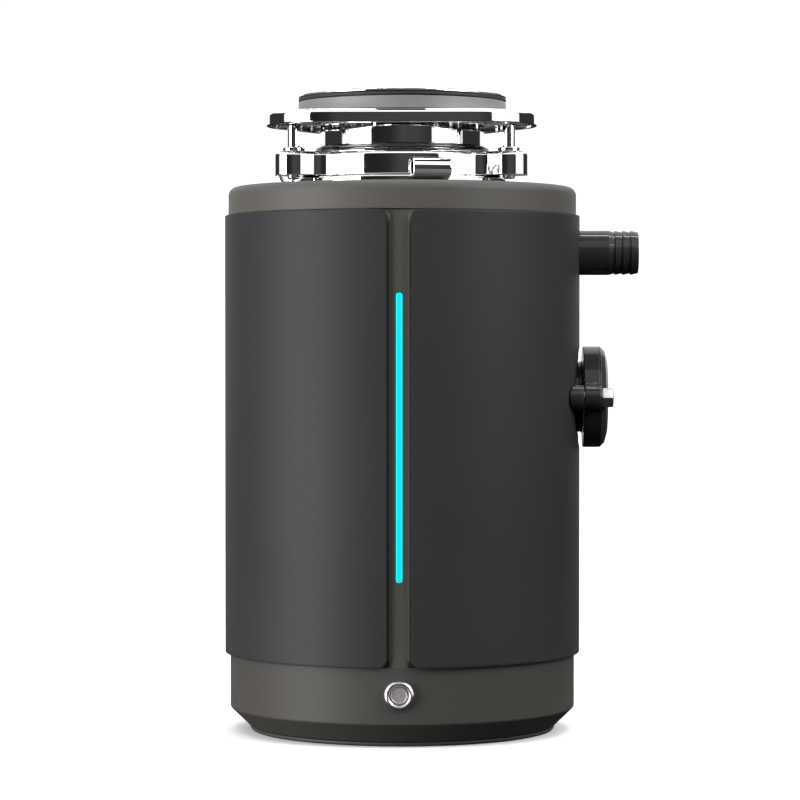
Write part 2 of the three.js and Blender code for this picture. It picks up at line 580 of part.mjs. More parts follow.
const sideways = (z) => {
  const g = new THREE.Group();
  g.position.z = z;
  g.rotation.y = Math.PI / 2; // local +Z points to +X, local +X points down
  object.add(g);
  return g;
};
const inletSide = sideways(INLET_Z);
{
  const barb = (x) => [[11.1, x - 0.5], [11.8, x]];
  piece(
    'dishwasher_inlet',
    turned([
      [INLET_BORE, 71.8], [INLET_R, 71.8], [INLET_R, 80.4], [14.8, 80.4], [14.8, 83.2], [INLET_R, 83.2],
      [INLET_R, 110.8], ...barb(113.9), ...barb(118.0), ...barb(122.3), [11.1, INLET_END], [INLET_BORE, INLET_END],
    ], 16),
    black, inletSide,
  );
  piece('inlet_seal', turned([[12.3, 78.3], [14.8, 78.3], [14.8, 80.1], [12.3, 80.1]], 16), rubber, inletSide);
}
{
  // saddle-backed spout: round tube, two ears shaped to the skin behind them
  const bar = [];
  arc(bar, 0, OUTLET_BOLT_Y, OUTLET_EAR_R, 0, 180, 20);
  arc(bar, 0, -OUTLET_BOLT_Y, OUTLET_EAR_R, 180, 360, 20);
  const lying = (g) => solid(g.rotateY(Math.PI / 2).translate(0, 0, OUTLET_Z));
  const ears = lying(new THREE.ExtrudeGeometry(new THREE.Shape(bar), { depth: OUTLET_FACE - 84, bevelEnabled: false }).translate(0, 0, 84)).subtract(
    rod(SKIN_R + 0.5, 100, 250, 48),
  );
  let spout = rodX(OUTLET_R, 71.9, OUTLET_FACE, 0, OUTLET_Z, 20)
    .add(ears)
    .subtract(rodX(OUTLET_BORE, 60, 110, 0, OUTLET_Z, 16))
    .subtract(rodX(3.4, 80, 110, OUTLET_BOLT_Y, OUTLET_Z, 8))
    .subtract(rodX(3.4, 80, 110, -OUTLET_BOLT_Y, OUTLET_Z, 8));
  piece('discharge_spout', spout, black);

  const grommet = rodX(SKIN_OUTLET_HOLE - CLEAR - 0.2, 86.5, 100, 0, OUTLET_Z, 24)
    .intersect(rod(SKIN_R - 0.6, 140, 220, 48))
    .subtract(rodX(OUTLET_R + CLEAR, 60, 110, 0, OUTLET_Z, 20));
  piece('outlet_grommet', grommet, rubber);

  // clamping flange: round disc with a crowned face and two lower bolt ears
  const disc = new THREE.LatheGeometry(
    [[0, 96.7], [OUTLET_FLANGE_R, 96.7], [OUTLET_FLANGE_R, 105.8], [OUTLET_FLANGE_R - 2.4, 108.2], [19.5, 109.6], [0, 109.6]].map(([r, z]) => new THREE.Vector2(r, z)),
    24,
  ).rotateX(Math.PI / 2);
  const outline = lobedOutline(OUTLET_FLANGE_R - 1, OUTLET_EAR_R, 4, [90, 270], OUTLET_BOLT_Y);
  const ear = new THREE.ExtrudeGeometry(outline, { depth: 8.6, bevelEnabled: false }).translate(0, 0, 96.7);
  let flange = lying(ear)
    .add(lying(disc))
    .subtract(rodX(16.5, 80, 120, 0, OUTLET_Z, 20));
  for (const s of [-1, 1]) {
    flange = flange.subtract(rodX(3.4, 80, 120, s * OUTLET_BOLT_Y, OUTLET_Z, 8)).subtract(rodX(6.3, 105.3, 120, s * OUTLET_BOLT_Y, OUTLET_Z, 12));
  }
  piece('discharge_flange', flange, black);

  [-1, 1].forEach((s, i) => {
    const bolt = turned([[0, 92.6], [3, 92.6], [3, 106], [0, 106]], 8).add(raised(hexagon(10), 105.6, 111.7, 0.6, 1));
    const g = sideways(OUTLET_Z);
    g.position.y = s * OUTLET_BOLT_Y;
    piece(`discharge_bolt_${i + 1}`, bolt, steel, g);
  });
}

// -------------------------------------------------------------------- motor

piece('motor_housing', turned([[62.5, 60], [64.3, 60], [64.3, 158.8], [62.5, 158.8]], SEG_IN), castIron);
{
  let core = turned([[STATOR_BORE, STATOR_Z0], [STATOR_R, STATOR_Z0], [STATOR_R, STATOR_Z1], [STATOR_BORE, STATOR_Z1]], SEG_IN);
  let winding = turned([[37, 73], [54, 73], [54, STATOR_Z0 - CLEAR], [37, STATOR_Z0 - CLEAR]], SEG_IN).add(
    turned([[37, STATOR_Z1 + CLEAR], [54, STATOR_Z1 + CLEAR], [54, 155], [37, 155]], SEG_IN),
  );
  for (let i = 0; i < SLOTS; i++) {
    const a = (360 / SLOTS) * i + 5;
    core = core.subtract(block(37.6, 50.4, -3.2, 3.2, STATOR_Z0 - 5, STATOR_Z1 + 5, a));
    winding = winding.add(block(38, 50, -2.8, 2.8, STATOR_Z0 - 2, STATOR_Z1 + 2, a));
  }
  piece('stator_core', core, castIron);
  piece('stator_winding', winding, copper);
}
const bearing = (z0) => turned([[SHAFT_R + CLEAR, z0], [12.9, z0], [12.9, z0 + 8], [SHAFT_R + CLEAR, z0 + 8]], SEG_IN);
piece('upper_bearing', bearing(150), steel);
piece('lower_bearing', bearing(62.4), steel);
{
  let bell = turned([[7.2, 54], [JOIN_R, 54], [JOIN_R, 59.6], [18, 59.6], [18, 70.6], [13.3, 70.6], [13.3, 62.1], [7.2, 62.1]], SEG_IN);
  for (const az of TIE_BOLT_AZ) bell = bell.subtract(rod(2.9, 50, 65, 8, TIE_BOLT_CIRCLE * Math.cos(deg(az)), TIE_BOLT_CIRCLE * Math.sin(deg(az))));
  for (let i = 0; i < 6; i++) bell = bell.subtract(block(30, 54, -5, 5, 50, 65, 30 + 60 * i));
  piece('lower_end_bell', bell, aluminium);
}
TIE_BOLT_AZ.forEach((az, i) => {
  const bolt = rod(2.5, 53, 207.5, 8).add(raised(hexagon(8), 49.7, 53.6));
  const m = piece(`tie_bolt_${i + 1}`, bolt, steel);
  m.position.set(TIE_BOLT_CIRCLE * Math.cos(deg(az)), TIE_BOLT_CIRCLE * Math.sin(deg(az)), 0);
});
{
  const sleeve = turned([[80.2, 63], [91.6, 63], [91.6, 260.5], [80.2, 260.5]], SEG_IN)
    .subtract(block(-17, 17, -110, -60, 50, 270))
    .subtract(rodX(28.5, 60, 110, 0, OUTLET_Z, 16))
    .subtract(rodX(16.5, 60, 110, 0, INLET_Z, 12));
  piece('sound_insulation', sleeve, foam);
}
piece(
  'control_board',
  block(-44, 44, -32, 26, 17, 18.6).add(block(-34, -12, -20, 4, 18.4, 34)).add(block(-4, 14, -26, -10, 18.4, 30)).add(block(22, 38, -20, 12, 18.4, 32)),
  board,
);
piece('run_capacitor', rodY(11, -25, 25, 0, 38, 12).add(block(-9, 9, 24.5, 27, 30.5, 45.5)), black).position.set(-58, 8, -4);

export default object;
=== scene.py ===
import json
import math

import bmesh
import bpy
import numpy as np
from mathutils import Matrix, Vector


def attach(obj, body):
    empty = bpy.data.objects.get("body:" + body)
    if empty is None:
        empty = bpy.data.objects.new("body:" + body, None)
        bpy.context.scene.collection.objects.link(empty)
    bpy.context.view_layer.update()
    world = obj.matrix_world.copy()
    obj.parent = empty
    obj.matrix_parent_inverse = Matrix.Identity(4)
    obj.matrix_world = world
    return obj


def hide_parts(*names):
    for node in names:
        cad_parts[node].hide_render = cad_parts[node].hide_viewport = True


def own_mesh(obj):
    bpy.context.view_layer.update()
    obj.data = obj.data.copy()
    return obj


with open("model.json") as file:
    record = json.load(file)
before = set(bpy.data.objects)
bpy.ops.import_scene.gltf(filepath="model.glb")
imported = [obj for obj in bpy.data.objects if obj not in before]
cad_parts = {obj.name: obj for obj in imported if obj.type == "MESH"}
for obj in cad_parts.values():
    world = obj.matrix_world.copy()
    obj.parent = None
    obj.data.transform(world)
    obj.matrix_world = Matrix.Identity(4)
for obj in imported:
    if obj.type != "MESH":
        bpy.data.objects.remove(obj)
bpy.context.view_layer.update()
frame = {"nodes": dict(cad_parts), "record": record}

MM = 0.001
TAU = math.tau
SCENE = bpy.context.scene


# ---------------------------------------------------------------- mesh helpers
def deg(a):
    return math.radians(a)


def rounded(points, radius=0.0, steps=5, closed=True, support=0.12):
    """A polyline in the section plane with its corners rounded. A point may carry its own radius as a third value."""
    out, n = [], len(points)
    for i, p in enumerate(points):
        f = p[2] if len(p) > 2 else radius
        here = np.array(p[:2], float)
        if f <= 0 or (not closed and i in (0, n - 1)):
            out.append(tuple(here))
            continue
        a = np.array(points[i - 1][:2], float) - here
        b = np.array(points[(i + 1) % n][:2], float) - here
        la, lb = np.linalg.norm(a), np.linalg.norm(b)
        a, b = a / la, b / lb
        half = math.acos(float(np.clip(a @ b, -1, 1))) / 2
        if half > math.pi / 2 - 0.02:
            out.append(tuple(here))
            continue
        t = min(f / math.tan(half), 0.48 * la, 0.48 * lb)
        r = t * math.tan(half)
        centre = here + (a + b) / np.linalg.norm(a + b) * (r / math.sin(half))
        s, e = here + a * t - centre, here + b * t - centre
        sweep = math.pi - 2 * half
        k = max(2, int(round(steps * sweep / (math.pi / 2))))
        if t + support < 0.48 * la:
            out.append(tuple(here + a * (t + support)))
        for j in range(k + 1):
            u = j / k
            w = (math.sin((1 - u) * sweep) * s + math.sin(u * sweep) * e) / math.sin(sweep)
            out.append(tuple(centre + w))
        if t + support < 0.48 * lb:
            out.append(tuple(here + b * (t + support)))
    return out


def raw(name, verts, faces):
    me = bpy.data.meshes.new(name)
    me.from_pydata((np.asarray(verts, float) * MM).tolist(), [], [list(map(int, f)) for f in faces])
    bm = bmesh.new()
    bm.from_mesh(me)
    bmesh.ops.remove_doubles(bm, verts=bm.verts, dist=2e-7)
    bmesh.ops.dissolve_degenerate(bm, edges=bm.edges, dist=1e-8)
    bmesh.ops.recalc_face_normals(bm, faces=bm.faces)
    bm.to_mesh(me)
    bm.free()
    ob = bpy.data.objects.new(name, me)
    SCENE.collection.objects.link(ob)
    return ob


def up(c, s, h):
    return np.stack([c, s, h], -1)


def out_x(z0):
    return lambda c, s, h: np.stack([h, c, z0 + s], -1)


def out_front(y0, z0):
    return lambda c, s, h: np.stack([c, y0 - h, z0 + s], -1)


def out_back(y0, z0):
    return lambda c, s, h: np.stack([-c, y0 + h, z0 + s], -1)


def revolve(profile, seg=192, place=up, turn=0.0):
    """Turns a section about its axis. A section whose two ends are on the axis is left open there."""
    prof = np.array([p[:2] for p in profile], float)
    m = len(prof)
    th = np.arange(seg) * TAU / seg + turn
    c = prof[None, :, 0] * np.cos(th)[:, None]
    s = prof[None, :, 0] * np.sin(th)[:, None]
    h = np.repeat(prof[None, :, 1], seg, 0)
    verts = place(c, s, h).reshape(-1, 3)
    axis = prof[0, 0] == 0 and prof[-1, 0] == 0
    faces = []
    for i in range(seg):
        k = (i + 1) % seg
        for j in range(m - 1 if axis else m):
            l = (j + 1) % m
            faces.append((i * m + j, k * m + j, k * m + l, i * m + l))
    return verts, faces


def loops_solid(loops, wrap=True):
    """Joins closed loops of equal length in order; wrap joins the last to the first, else both ends are capped."""
    loops = np.asarray(loops, float)
    m, n = loops.shape[:2]
    faces = []
    for j in range(m if wrap else m - 1):
        l = (j + 1) % m
        for i in range(n):
            k = (i + 1) % n
            faces.append((j * n + i, j * n + k, l * n + k, l * n + i))
    if not wrap:
        faces.append(tuple(range(n)))
        faces.append(tuple((m - 1) * n + i for i in range(n)))
    return loops.reshape(-1, 3), faces


def cylinder(r, start, end, seg=64):
    """A plain cutter between two points, never shown."""
    a, b = Vector(start), Vector(end)
    d = (b - a).normalized()
    side = d.orthogonal().normalized()
    other = d.cross(side)
    loops = []
    for p in (a, b):
        loops.append([tuple(p + side * r * math.cos(t) + other * r * math.sin(t)) for t in np.arange(seg) * TAU / seg])
    return raw("cutter", *loops_solid(loops, wrap=False))


def slab(x0, x1, y0, y1, z0, z1):
    """A plain cutter box, never shown."""
    loops = [[(x, y, z) for x, y in ((x0, y0), (x1, y0), (x1, y1), (x0, y1))] for z in (z0, z1)]
    return raw("cutter", *loops_solid(loops, wrap=False))


def cut(ob, *cutters, operation="DIFFERENCE"):
    for c in cutters:
        m = ob.modifiers.new("cut", "BOOLEAN")
        m.object, m.operation, m.solver = c, operation, "EXACT"
    bpy.context.view_layer.update()
    me = bpy.data.meshes.new_from_object(ob.evaluated_get(bpy.context.evaluated_depsgraph_get()))
    ob.modifiers.clear()
    old, ob.data = ob.data, me
    bpy.data.meshes.remove(old)
    for c in cutters:
        data = c.data
        bpy.data.objects.remove(c)
        bpy.data.meshes.remove(data)
    return ob


def piece(ob, name, material, nodes, body="root", sharp=33):
    """Gives a finished mesh its name, shading, material, body and the CAD nodes it stands for."""
    ob.name = ob.data.name = name
    ob.data.materials.clear()
    ob.data.materials.append(material)
    for p in ob.data.polygons:
        p.material_index = 0
    ob.data.shade_smooth()
    ob.data.set_sharp_from_angle(angle=deg(sharp))
    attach(ob, body)
    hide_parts(*nodes)
    return ob


# ---------------------------------------------------------------- outlines of the lobed plates
def disc_distance(p, c, r):
    return np.hypot(p[..., 0] - c[0], p[..., 1] - c[1]) - r


def union_round(a, b, r):
    u, v = np.maximum(r - a, 0), np.maximum(r - b, 0)
    return np.maximum(r, np.minimum(a, b)) - np.hypot(u, v)


def lobed(r0, lobe, fillet, azimuths, circle):
    centres = [(circle * math.cos(deg(a)), circle * math.sin(deg(a))) for a in azimuths]

    def distance(p):
        d = disc_distance(p, (0, 0), r0)
        for c in centres:
            d = union_round(d, disc_distance(p, c, lobe), fillet)
        return d

    return distance


def triangle(corner, circle, azimuths):
    """A triangle with wide round corners."""
    pts = [np.array((circle * math.cos(deg(a)), circle * math.sin(deg(a)))) for a in azimuths]

    def distance(p):
        best, inside = np.full(p.shape[:-1], 1e9), np.full(p.shape[:-1], True)
        for a, b in zip(pts, pts[1:] + pts[:1]):
            e = b - a
            d = p - a - np.clip(((p - a) @ e) / (e @ e), 0, 1)[..., None] * e
            best = np.minimum(best, np.hypot(d[..., 0], d[..., 1]))
            inside &= e[0] * (p[..., 1] - a[1]) - e[1] * (p[..., 0] - a[0]) > 0
        return np.where(inside, -best, best) - corner

    return distance


def eared(r0, ear, fillet, azimuths, circle):
    """A disc with one straight-sided ear running out to each screw."""
    ends = [np.array((circle * math.cos(deg(a)), circle * math.sin(deg(a)))) for a in azimuths]

    def distance(p):
        d = disc_distance(p, (0, 0), r0)
        for e in ends:
            q = p - np.clip((p @ e) / (e @ e), 0, 1)[..., None] * e
            d = union_round(d, np.hypot(q[..., 0], q[..., 1]) - ear, fillet)
        return d

    return distance


def reach(distance, thetas, inset=0.0, most=110.0):
    """How far the outline, moved in by inset, is from the middle in each direction."""
    lo, hi = np.zeros_like(thetas), np.full_like(thetas, most)
    ray = np.stack([np.cos(thetas), np.sin(thetas)], -1)
    for _ in range(46):
        mid = (lo + hi) / 2
        inside = distance(ray * mid[..., None]) + inset < 0
        lo, hi = np.where(inside, mid, lo), np.where(inside, hi, mid)
    return (lo + hi) / 2


def even(distance, n, most=110.0):
    """Directions that space points evenly along the outline."""
    th = np.linspace(0, TAU, 6001)
    r = reach(distance, th, most=most)
    step = np.hypot(np.diff(r * np.cos(th)), np.diff(r * np.sin(th)))
    s = np.concatenate([[0], np.cumsum(step)])
    return np.interp(np.arange(n) * s[-1] / n, s, th)


def plate(distance, thetas, outer, inner, least=0.0, place=up):
    """A ring whose outside follows the outline and whose inside is round. outer is a section of (inset, height), inner of (radius, height)."""
    loops = []
    c, s = np.cos(thetas), np.sin(thetas)
    for inset, h in outer:
        r = np.maximum(reach(distance, thetas, inset), least)
        loops.append(place(r * c, r * s, np.full_like(r, h)))
    for r, h in inner:
        loops.append(place(r * c, r * s, np.full_like(c, h)))
    return loops_solid(loops)


def smoothstep(a, b, x):
    t = np.clip((x - a) / (b - a), 0, 1)
    return t * t * (3 - 2 * t)


# ---------------------------------------------------------------- materials
class Nodes:
    def __init__(self, name):
        self.m = bpy.data.materials.new(name)
        self.m.use_nodes = True
        self.t = self.m.node_tree
        self.t.nodes.clear()
        self.out = self.t.nodes.new("ShaderNodeOutputMaterial")
        self.bsdf = self.t.nodes.new("ShaderNodeBsdfPrincipled")
        self.t.links.new(self.bsdf.outputs[0], self.out.inputs[0])
        self.coord = self.t.nodes.new("ShaderNodeTexCoord")
        self.normal = None

    def new(self, kind, **values):
        n = self.t.nodes.new(kind)
        for k, v in values.items():
            if k in n.inputs:
                n.inputs[k].default_value = v
            else:
                setattr(n, k, v)
        return n

    def link(self, a, b):
        self.t.links.new(a, b)

    def mapped(self, scale=(1, 1, 1), rotation=(0, 0, 0)):
        n = self.new("ShaderNodeMapping")
        n.inputs["Scale"].default_value = scale
        n.inputs["Rotation"].default_value = rotation
        self.link(self.coord.outputs["Object"], n.inputs["Vector"])
        return n.outputs["Vector"]

    def noise(self, scale, detail=3.0, rough=0.55, vector=None):
        n = self.new("ShaderNodeTexNoise")
        n.inputs["Scale"].default_value = scale
        n.inputs["Detail"].default_value = detail
        n.inputs["Roughness"].default_value = rough
        self.link(vector or self.coord.outputs["Object"], n.inputs["Vector"])
        return n.outputs["Fac"]

    def ramp(self, fac, stops, smooth=False):
        n = self.new("ShaderNodeValToRGB")
        if smooth:
            n.color_ramp.interpolation = "EASE"
        while len(n.color_ramp.elements) < len(stops):
            n.color_ramp.elements.new(0.5)
        for e, (p, c) in zip(n.color_ramp.elements, stops):
            e.position, e.color = p, (*c, 1) if len(c) == 3 else c
        self.link(fac, n.inputs["Fac"])
        return n.outputs["Color"]

    def spread(self, fac, low, high, a=0.3, b=0.7):
        n = self.new("ShaderNodeMapRange")
        n.inputs["From Min"].default_value, n.inputs["From Max"].default_value = a, b
        n.inputs["To Min"].default_value, n.inputs["To Max"].default_value = low, high
        self.link(fac, n.inputs["Value"])
        return n.outputs["Result"]

    def bump(self, height, strength, distance):
        n = self.new("ShaderNodeBump")
        n.inputs["Strength"].default_value = strength
        n.inputs["Distance"].default_value = distance
        self.link(height, n.inputs["Height"])
        if self.normal is not None:
            self.link(self.normal, n.inputs["Normal"])
        self.normal = n.outputs["Normal"]
        self.link(self.normal, self.bsdf.inputs["Normal"])

    def set(self, **values):
        for k, v in values.items():
            self.bsdf.inputs[k.replace("_", " ")].default_value = v

    def colour(self, socket):
        self.link(socket, self.bsdf.inputs["Base Color"])

    def roughness(self, socket):
        self.link(socket, self.bsdf.inputs["Roughness"])


def shades(c, spread):
    return tuple(max(0.0, x * (1 - spread)) for x in c), tuple(min(1.0, x * (1 + spread)) for x in c)


def coated(name, colour, rough, grain, metallic=0.0, spread=0.06, strength=0.35, distance=0.00006, mottle=14.0, specular=0.5):
    """Paint or a moulded finish: a fine grain, a faint broad mottle in the colour, and gloss that varies a little with
    the grain.
    """
    n = Nodes(name)
    broad = n.noise(mottle, 4, 0.6)
    fine = n.noise(grain, 2, 0.6)
    lo, hi = shades(colour, spread)
    n.colour(n.ramp(broad, [(0.3, lo), (0.7, hi)]))
    n.roughness(n.spread(fine, rough - 0.05, rough + 0.06))
    n.bump(fine, strength, distance)
    n.set(Metallic=metallic, Specular_IOR_Level=specular)
    return n.m


def chrome(name, colour=(0.9, 0.9, 0.91), rough=0.03, wave=0.00003):
    n = Nodes(name)
    broad = n.noise(55, 2, 0.5)
    fine = n.noise(1400, 2, 0.6)
    lo, hi = shades(colour, 0.03)
    n.colour(n.ramp(broad, [(0.3, lo), (0.7, hi)]))
    n.roughness(n.spread(n.noise(160, 4, 0.65), rough, rough + 0.035))
    n.bump(broad, 0.5, wave)
    n.bump(fine, 0.12, 0.000004)
    n.set(Metallic=1.0)
    return n.m


def brushed(name, colour, rough, stretch, strength=0.3, distance=0.00002, metallic=1.0, spread=0.12):
    """Drawn or turned metal: grain stretched along one direction."""
    n = Nodes(name)
    v = n.mapped(scale=stretch)
    grain = n.noise(1.0, 4, 0.7, v)
    broad = n.noise(30, 3, 0.6)
    lo, hi = shades(colour, spread)
    n.colour(n.ramp(grain, [(0.3, lo), (0.7, hi)]))
    n.roughness(n.spread(broad, rough - 0.05, rough + 0.08))
    n.bump(grain, strength, distance)
    n.set(Metallic=metallic)
    return n.m


def cast(name, colour, rough, metallic=0.9, grain=900, spread=0.15):
    n = Nodes(name)
    pits = n.noise(grain, 6, 0.7)
    broad = n.noise(40, 4, 0.6)
    lo, hi = shades(colour, spread)
    n.colour(n.ramp(broad, [(0.3, lo), (0.7, hi)]))
    n.roughness(n.spread(pits, rough - 0.08, rough + 0.12))
    n.bump(pits, 0.5, 0.00015)
    n.set(Metallic=metallic)
    return n.m


def rings(name, colour, rough, pitch, metallic=1.0):
    """Faced metal: fine turning marks in circles about the vertical axis."""
    n = Nodes(name)
    wave = n.new("ShaderNodeTexWave", wave_type="RINGS", rings_direction="Z", wave_profile="SIN")
    wave.inputs["Scale"].default_value = 1 / pitch
    wave.inputs["Distortion"].default_value = 0.6
    wave.inputs["Detail"].default_value = 2.0
    n.link(n.coord.outputs["Object"], wave.inputs["Vector"])
    broad = n.noise(25, 4, 0.6)
    lo, hi = shades(colour, 0.1)
    n.colour(n.ramp(broad, [(0.3, lo), (0.7, hi)]))
    n.roughness(n.spread(broad, rough - 0.05, rough + 0.1))
    n.bump(wave.outputs["Fac"], 0.25, 0.00002)
    n.set(Metallic=metallic)
    return n.m


SKIN = coated("skin_coating", (0.0195, 0.0197, 0.0198), 0.54, 1500, spread=0.06, strength=0.3, distance=0.00005, specular=0.17)
BRONZE = coated("bronze_body", (0.064, 0.0602, 0.0535), 0.54, 1900, metallic=0.1, spread=0.04, strength=0.25, distance=0.00004, specular=0.22)
# painted shade: the same moulded bronze as the body, given a darker colour for the lower part, which gets less light;
# the underside cover shares it
BASE_SHADED_BRONZE = coated("bronze_base_painted_shade", (0.046, 0.0433, 0.0385), 0.54, 1900, metallic=0.1, spread=0.04, strength=0.25, distance=0.00004, specular=0.16)


def trench():
    """The body colour with painted shade: darkening towards the two inner corners of the channel, except at the flare
    near the top.
    """
    n = Nodes("channel_bronze_painted_shade")
    split = n.new("ShaderNodeSeparateXYZ")
    n.link(n.coord.outputs["Object"], split.inputs["Vector"])
    side = n.new("ShaderNodeMath", operation="ABSOLUTE")
    n.link(split.outputs["X"], side.inputs[0])
    # painted shade mask: 1 across the open floor, falling to 0 in the channel's inner corners
    edge = n.spread(side.outputs[0], 1.0, 0.0, 0.0033, 0.0054)
    flare = n.spread(split.outputs["Z"], 0.0, 1.0, 0.2665, 0.2715)
    unshaded_mask = n.new("ShaderNodeMath", operation="MAXIMUM")
    n.link(edge, unshaded_mask.inputs[0])
    n.link(flare, unshaded_mask.inputs[1])
    tone = n.new("ShaderNodeMath", operation="MULTIPLY_ADD")
    tone.inputs[1].default_value, tone.inputs[2].default_value = 0.06, -0.03
    n.link(n.noise(14, 4, 0.6), tone.inputs[0])
    total = n.new("ShaderNodeMath", operation="ADD")
    n.link(unshaded_mask.outputs[0], total.inputs[0])
    n.link(tone.outputs[0], total.inputs[1])
    # painted shade: near black in the inner corners, the body colour on the open floor
    n.colour(n.ramp(total.outputs[0], [(0.0, (0.011, 0.0103, 0.0092)), (1.0, (0.061, 0.0573, 0.0505))]))
    fine = n.noise(1900, 2, 0.6)
    n.roughness(n.spread(fine, 0.45, 0.56))
    n.bump(fine, 0.25, 0.00004)
    n.set(Specular_IOR_Level=0.1)
    return n.m


TRENCH_SHADED = trench()
BEZEL = chrome("polished_bezel", (0.93, 0.92, 0.93), 0.21)
CHROME = chrome("bright_chrome")
SLEEVE = chrome("flange_steel", (0.86, 0.86, 0.87), 0.035)
BLACK = coated("black_plastic", (0.0215, 0.0190, 0.0210), 0.3, 1300, spread=0.12, strength=0.14, distance=0.00003, mottle=25, specular=0.1)
BLACK.node_tree.nodes["Principled BSDF"].inputs["Coat Weight"].default_value = 0.3
BLACK.node_tree.nodes["Principled BSDF"].inputs["Coat Roughness"].default_value = 0.09
RUBBER = coated("black_rubber", (0.014, 0.014, 0.0145), 0.62, 1100, spread=0.15, strength=0.4, distance=0.00006, mottle=40, specular=0.35)
GASKET = coated("grey_gasket", (0.145, 0.145, 0.145), 0.5, 1600, spread=0.05, strength=0.3, distance=0.00005, mottle=60)
FASTENER = brushed("steel_fastener", (0.56, 0.56, 0.58), 0.3, (900, 900, 220))
STEEL = rings("chamber_steel", (0.5, 0.5, 0.51), 0.32, 0.0009)
SPRING = brushed("spring_steel", (0.085, 0.085, 0.09), 0.22, (700, 700, 250))
CAST = cast("cast_parts", (0.16, 0.16, 0.17), 0.55)
ALUMINIUM = cast("motor_aluminium", (0.5, 0.5, 0.51), 0.42, grain=700)


def copper():
    n = Nodes("copper_winding")
    wave = n.new("ShaderNodeTexWave", wave_type="BANDS", bands_direction="Z", wave_profile="SIN")
    wave.inputs["Scale"].default_value = 420
    wave.inputs["Distortion"].default_value = 4.0
    n.link(n.coord.outputs["Object"], wave.inputs["Vector"])
    n.colour(n.ramp(wave.outputs["Fac"], [(0.2, (0.25, 0.08, 0.03)), (0.8, (0.62, 0.27, 0.12))]))
    n.bump(wave.outputs["Fac"], 0.8, 0.0003)
    n.set(Metallic=0.85, Roughness=0.34)
    return n.m


def foam():
    n = Nodes("foam_grey")
    cell = n.new("ShaderNodeTexVoronoi")
    cell.inputs["Scale"].default_value = 620
    n.link(n.coord.outputs["Object"], cell.inputs["Vector"])
    n.colour(n.ramp(cell.outputs["Distance"], [(0.0, (0.05, 0.05, 0.055)), (0.6, (0.13, 0.13, 0.135))]))
    n.bump(cell.outputs["Distance"], 0.7, 0.0005)
    n.set(Roughness=0.95, Specular_IOR_Level=0.2)
    return n.m


def board():
    n = Nodes("circuit_board")
    cell = n.new("ShaderNodeTexVoronoi", distance="CHEBYCHEV")
    cell.inputs["Scale"].default_value = 260
    n.link(n.coord.outputs["Object"], cell.inputs["Vector"])
    n.colour(n.ramp(cell.outputs["Distance"], [(0.0, (0.35, 0.33, 0.2)), (0.12, (0.015, 0.12, 0.05)), (0.8, (0.01, 0.08, 0.035))]))
    n.bump(cell.outputs["Distance"], 0.3, 0.0001)
    n.set(Roughness=0.4)
    return n.m


def light_bar():
    """A lit diffuser: strongest along its two long edges, a little greener and darker along the middle."""
    n = Nodes("light_bar")
    split = n.new("ShaderNodeSeparateXYZ")
    n.link(n.coord.outputs["Object"], split.inputs["Vector"])
    side = n.new("ShaderNodeMath", operation="ABSOLUTE")
    n.link(split.outputs["X"], side.inputs[0])
    t = n.spread(side.outputs[0], 0.0, 1.0, 0.0, 0.0019)
    soft = n.noise(240, 2, 0.5)
    mix = n.new("ShaderNodeMath", operation="MULTIPLY_ADD")
    mix.inputs[1].default_value = 0.08
    n.link(soft, mix.inputs[0])
    n.link(t, mix.inputs[2])
    glow = n.ramp(mix.outputs[0], [(0.0, (0.0, 0.70, 0.78)), (0.55, (0.0, 0.78, 0.87)), (0.85, (0.0, 1.0, 1.0))], smooth=True)
    n.link(glow, n.bsdf.inputs["Emission Color"])
    n.set(Emission_Strength=0.95, Roughness=0.35, Specular_IOR_Level=0.3)
    n.bsdf.inputs["Base Color"].default_value = (0.0, 0.12, 0.13, 1)
    return n.m


def button_face():
    """Blasted satin metal with a fine hard sparkle."""
    n = Nodes("satin_steel")
    fine = n.noise(2600, 3, 0.7)
    coarse = n.noise(900, 3, 0.6)
    n.colour(n.ramp(coarse, [(0.3, (0.37, 0.345, 0.38)), (0.7, (0.56, 0.525, 0.56))]))
    n.roughness(n.spread(fine, 0.36, 0.55))
    n.bump(fine, 0.6, 0.00005)
    n.set(Metallic=0.9)
    return n.m


LIGHT, COPPER, FOAM, BOARD, SATIN = light_bar(), copper(), foam(), board(), button_face()
BY_SLOT = {
    "skin_coating": SKIN, "bronze_body": BRONZE, "light_bar": LIGHT, "circuit_board": BOARD, "bright_chrome": CHROME,
    "satin_steel": SATIN, "steel_fastener": FASTENER, "flange_steel": SLEEVE, "grey_gasket": GASKET,
    "black_rubber": RUBBER, "black_plastic": BLACK, "chamber_steel": STEEL, "cast_parts": CAST,
    "motor_aluminium": ALUMINIUM, "copper_winding": COPPER, "foam_grey": FOAM,
}

# ---------------------------------------------------------------- outer body
PANEL_R, PANEL_IN, GAP, FLARE, PANEL_LOW, PANEL_HIGH = 95.0, 93.3, 6.2, 4.6, 41.3, 274.6
AROUND = TAU * PANEL_R


def panel_layer(radius, inset):
    """One surface of the wrapped panel: a rectangle with round corners, moved in by inset, laid on a cylinder."""
    corner = max(FLARE - inset, 0.05)
    turn = np.linspace(0, math.pi / 2, 9)
    near = GAP + inset + corner * (1 - np.cos(turn))
    rise = corner * (1 - np.sin(turn))
    middle = np.linspace(near[-1], AROUND - near[-1], 250)[1:-1]
    s = np.concatenate([near, middle, (AROUND - near)[::-1]])
    rise = np.concatenate([rise, np.zeros(len(middle)), rise[::-1]])
    low, high = PANEL_LOW + inset + rise, PANEL_HIGH - inset - rise
    rows = np.concatenate([[0, 0.004], np.linspace(0.03, 0.97, 16), [0.996, 1]])
    z = low[:, None] + (high - low)[:, None] * rows[None, :]
    a = (s / PANEL_R)[:, None]
    x, y = radius * np.sin(a) + 0 * z, -radius * np.cos(a) + 0 * z
    return np.stack([x, y, z], -1)


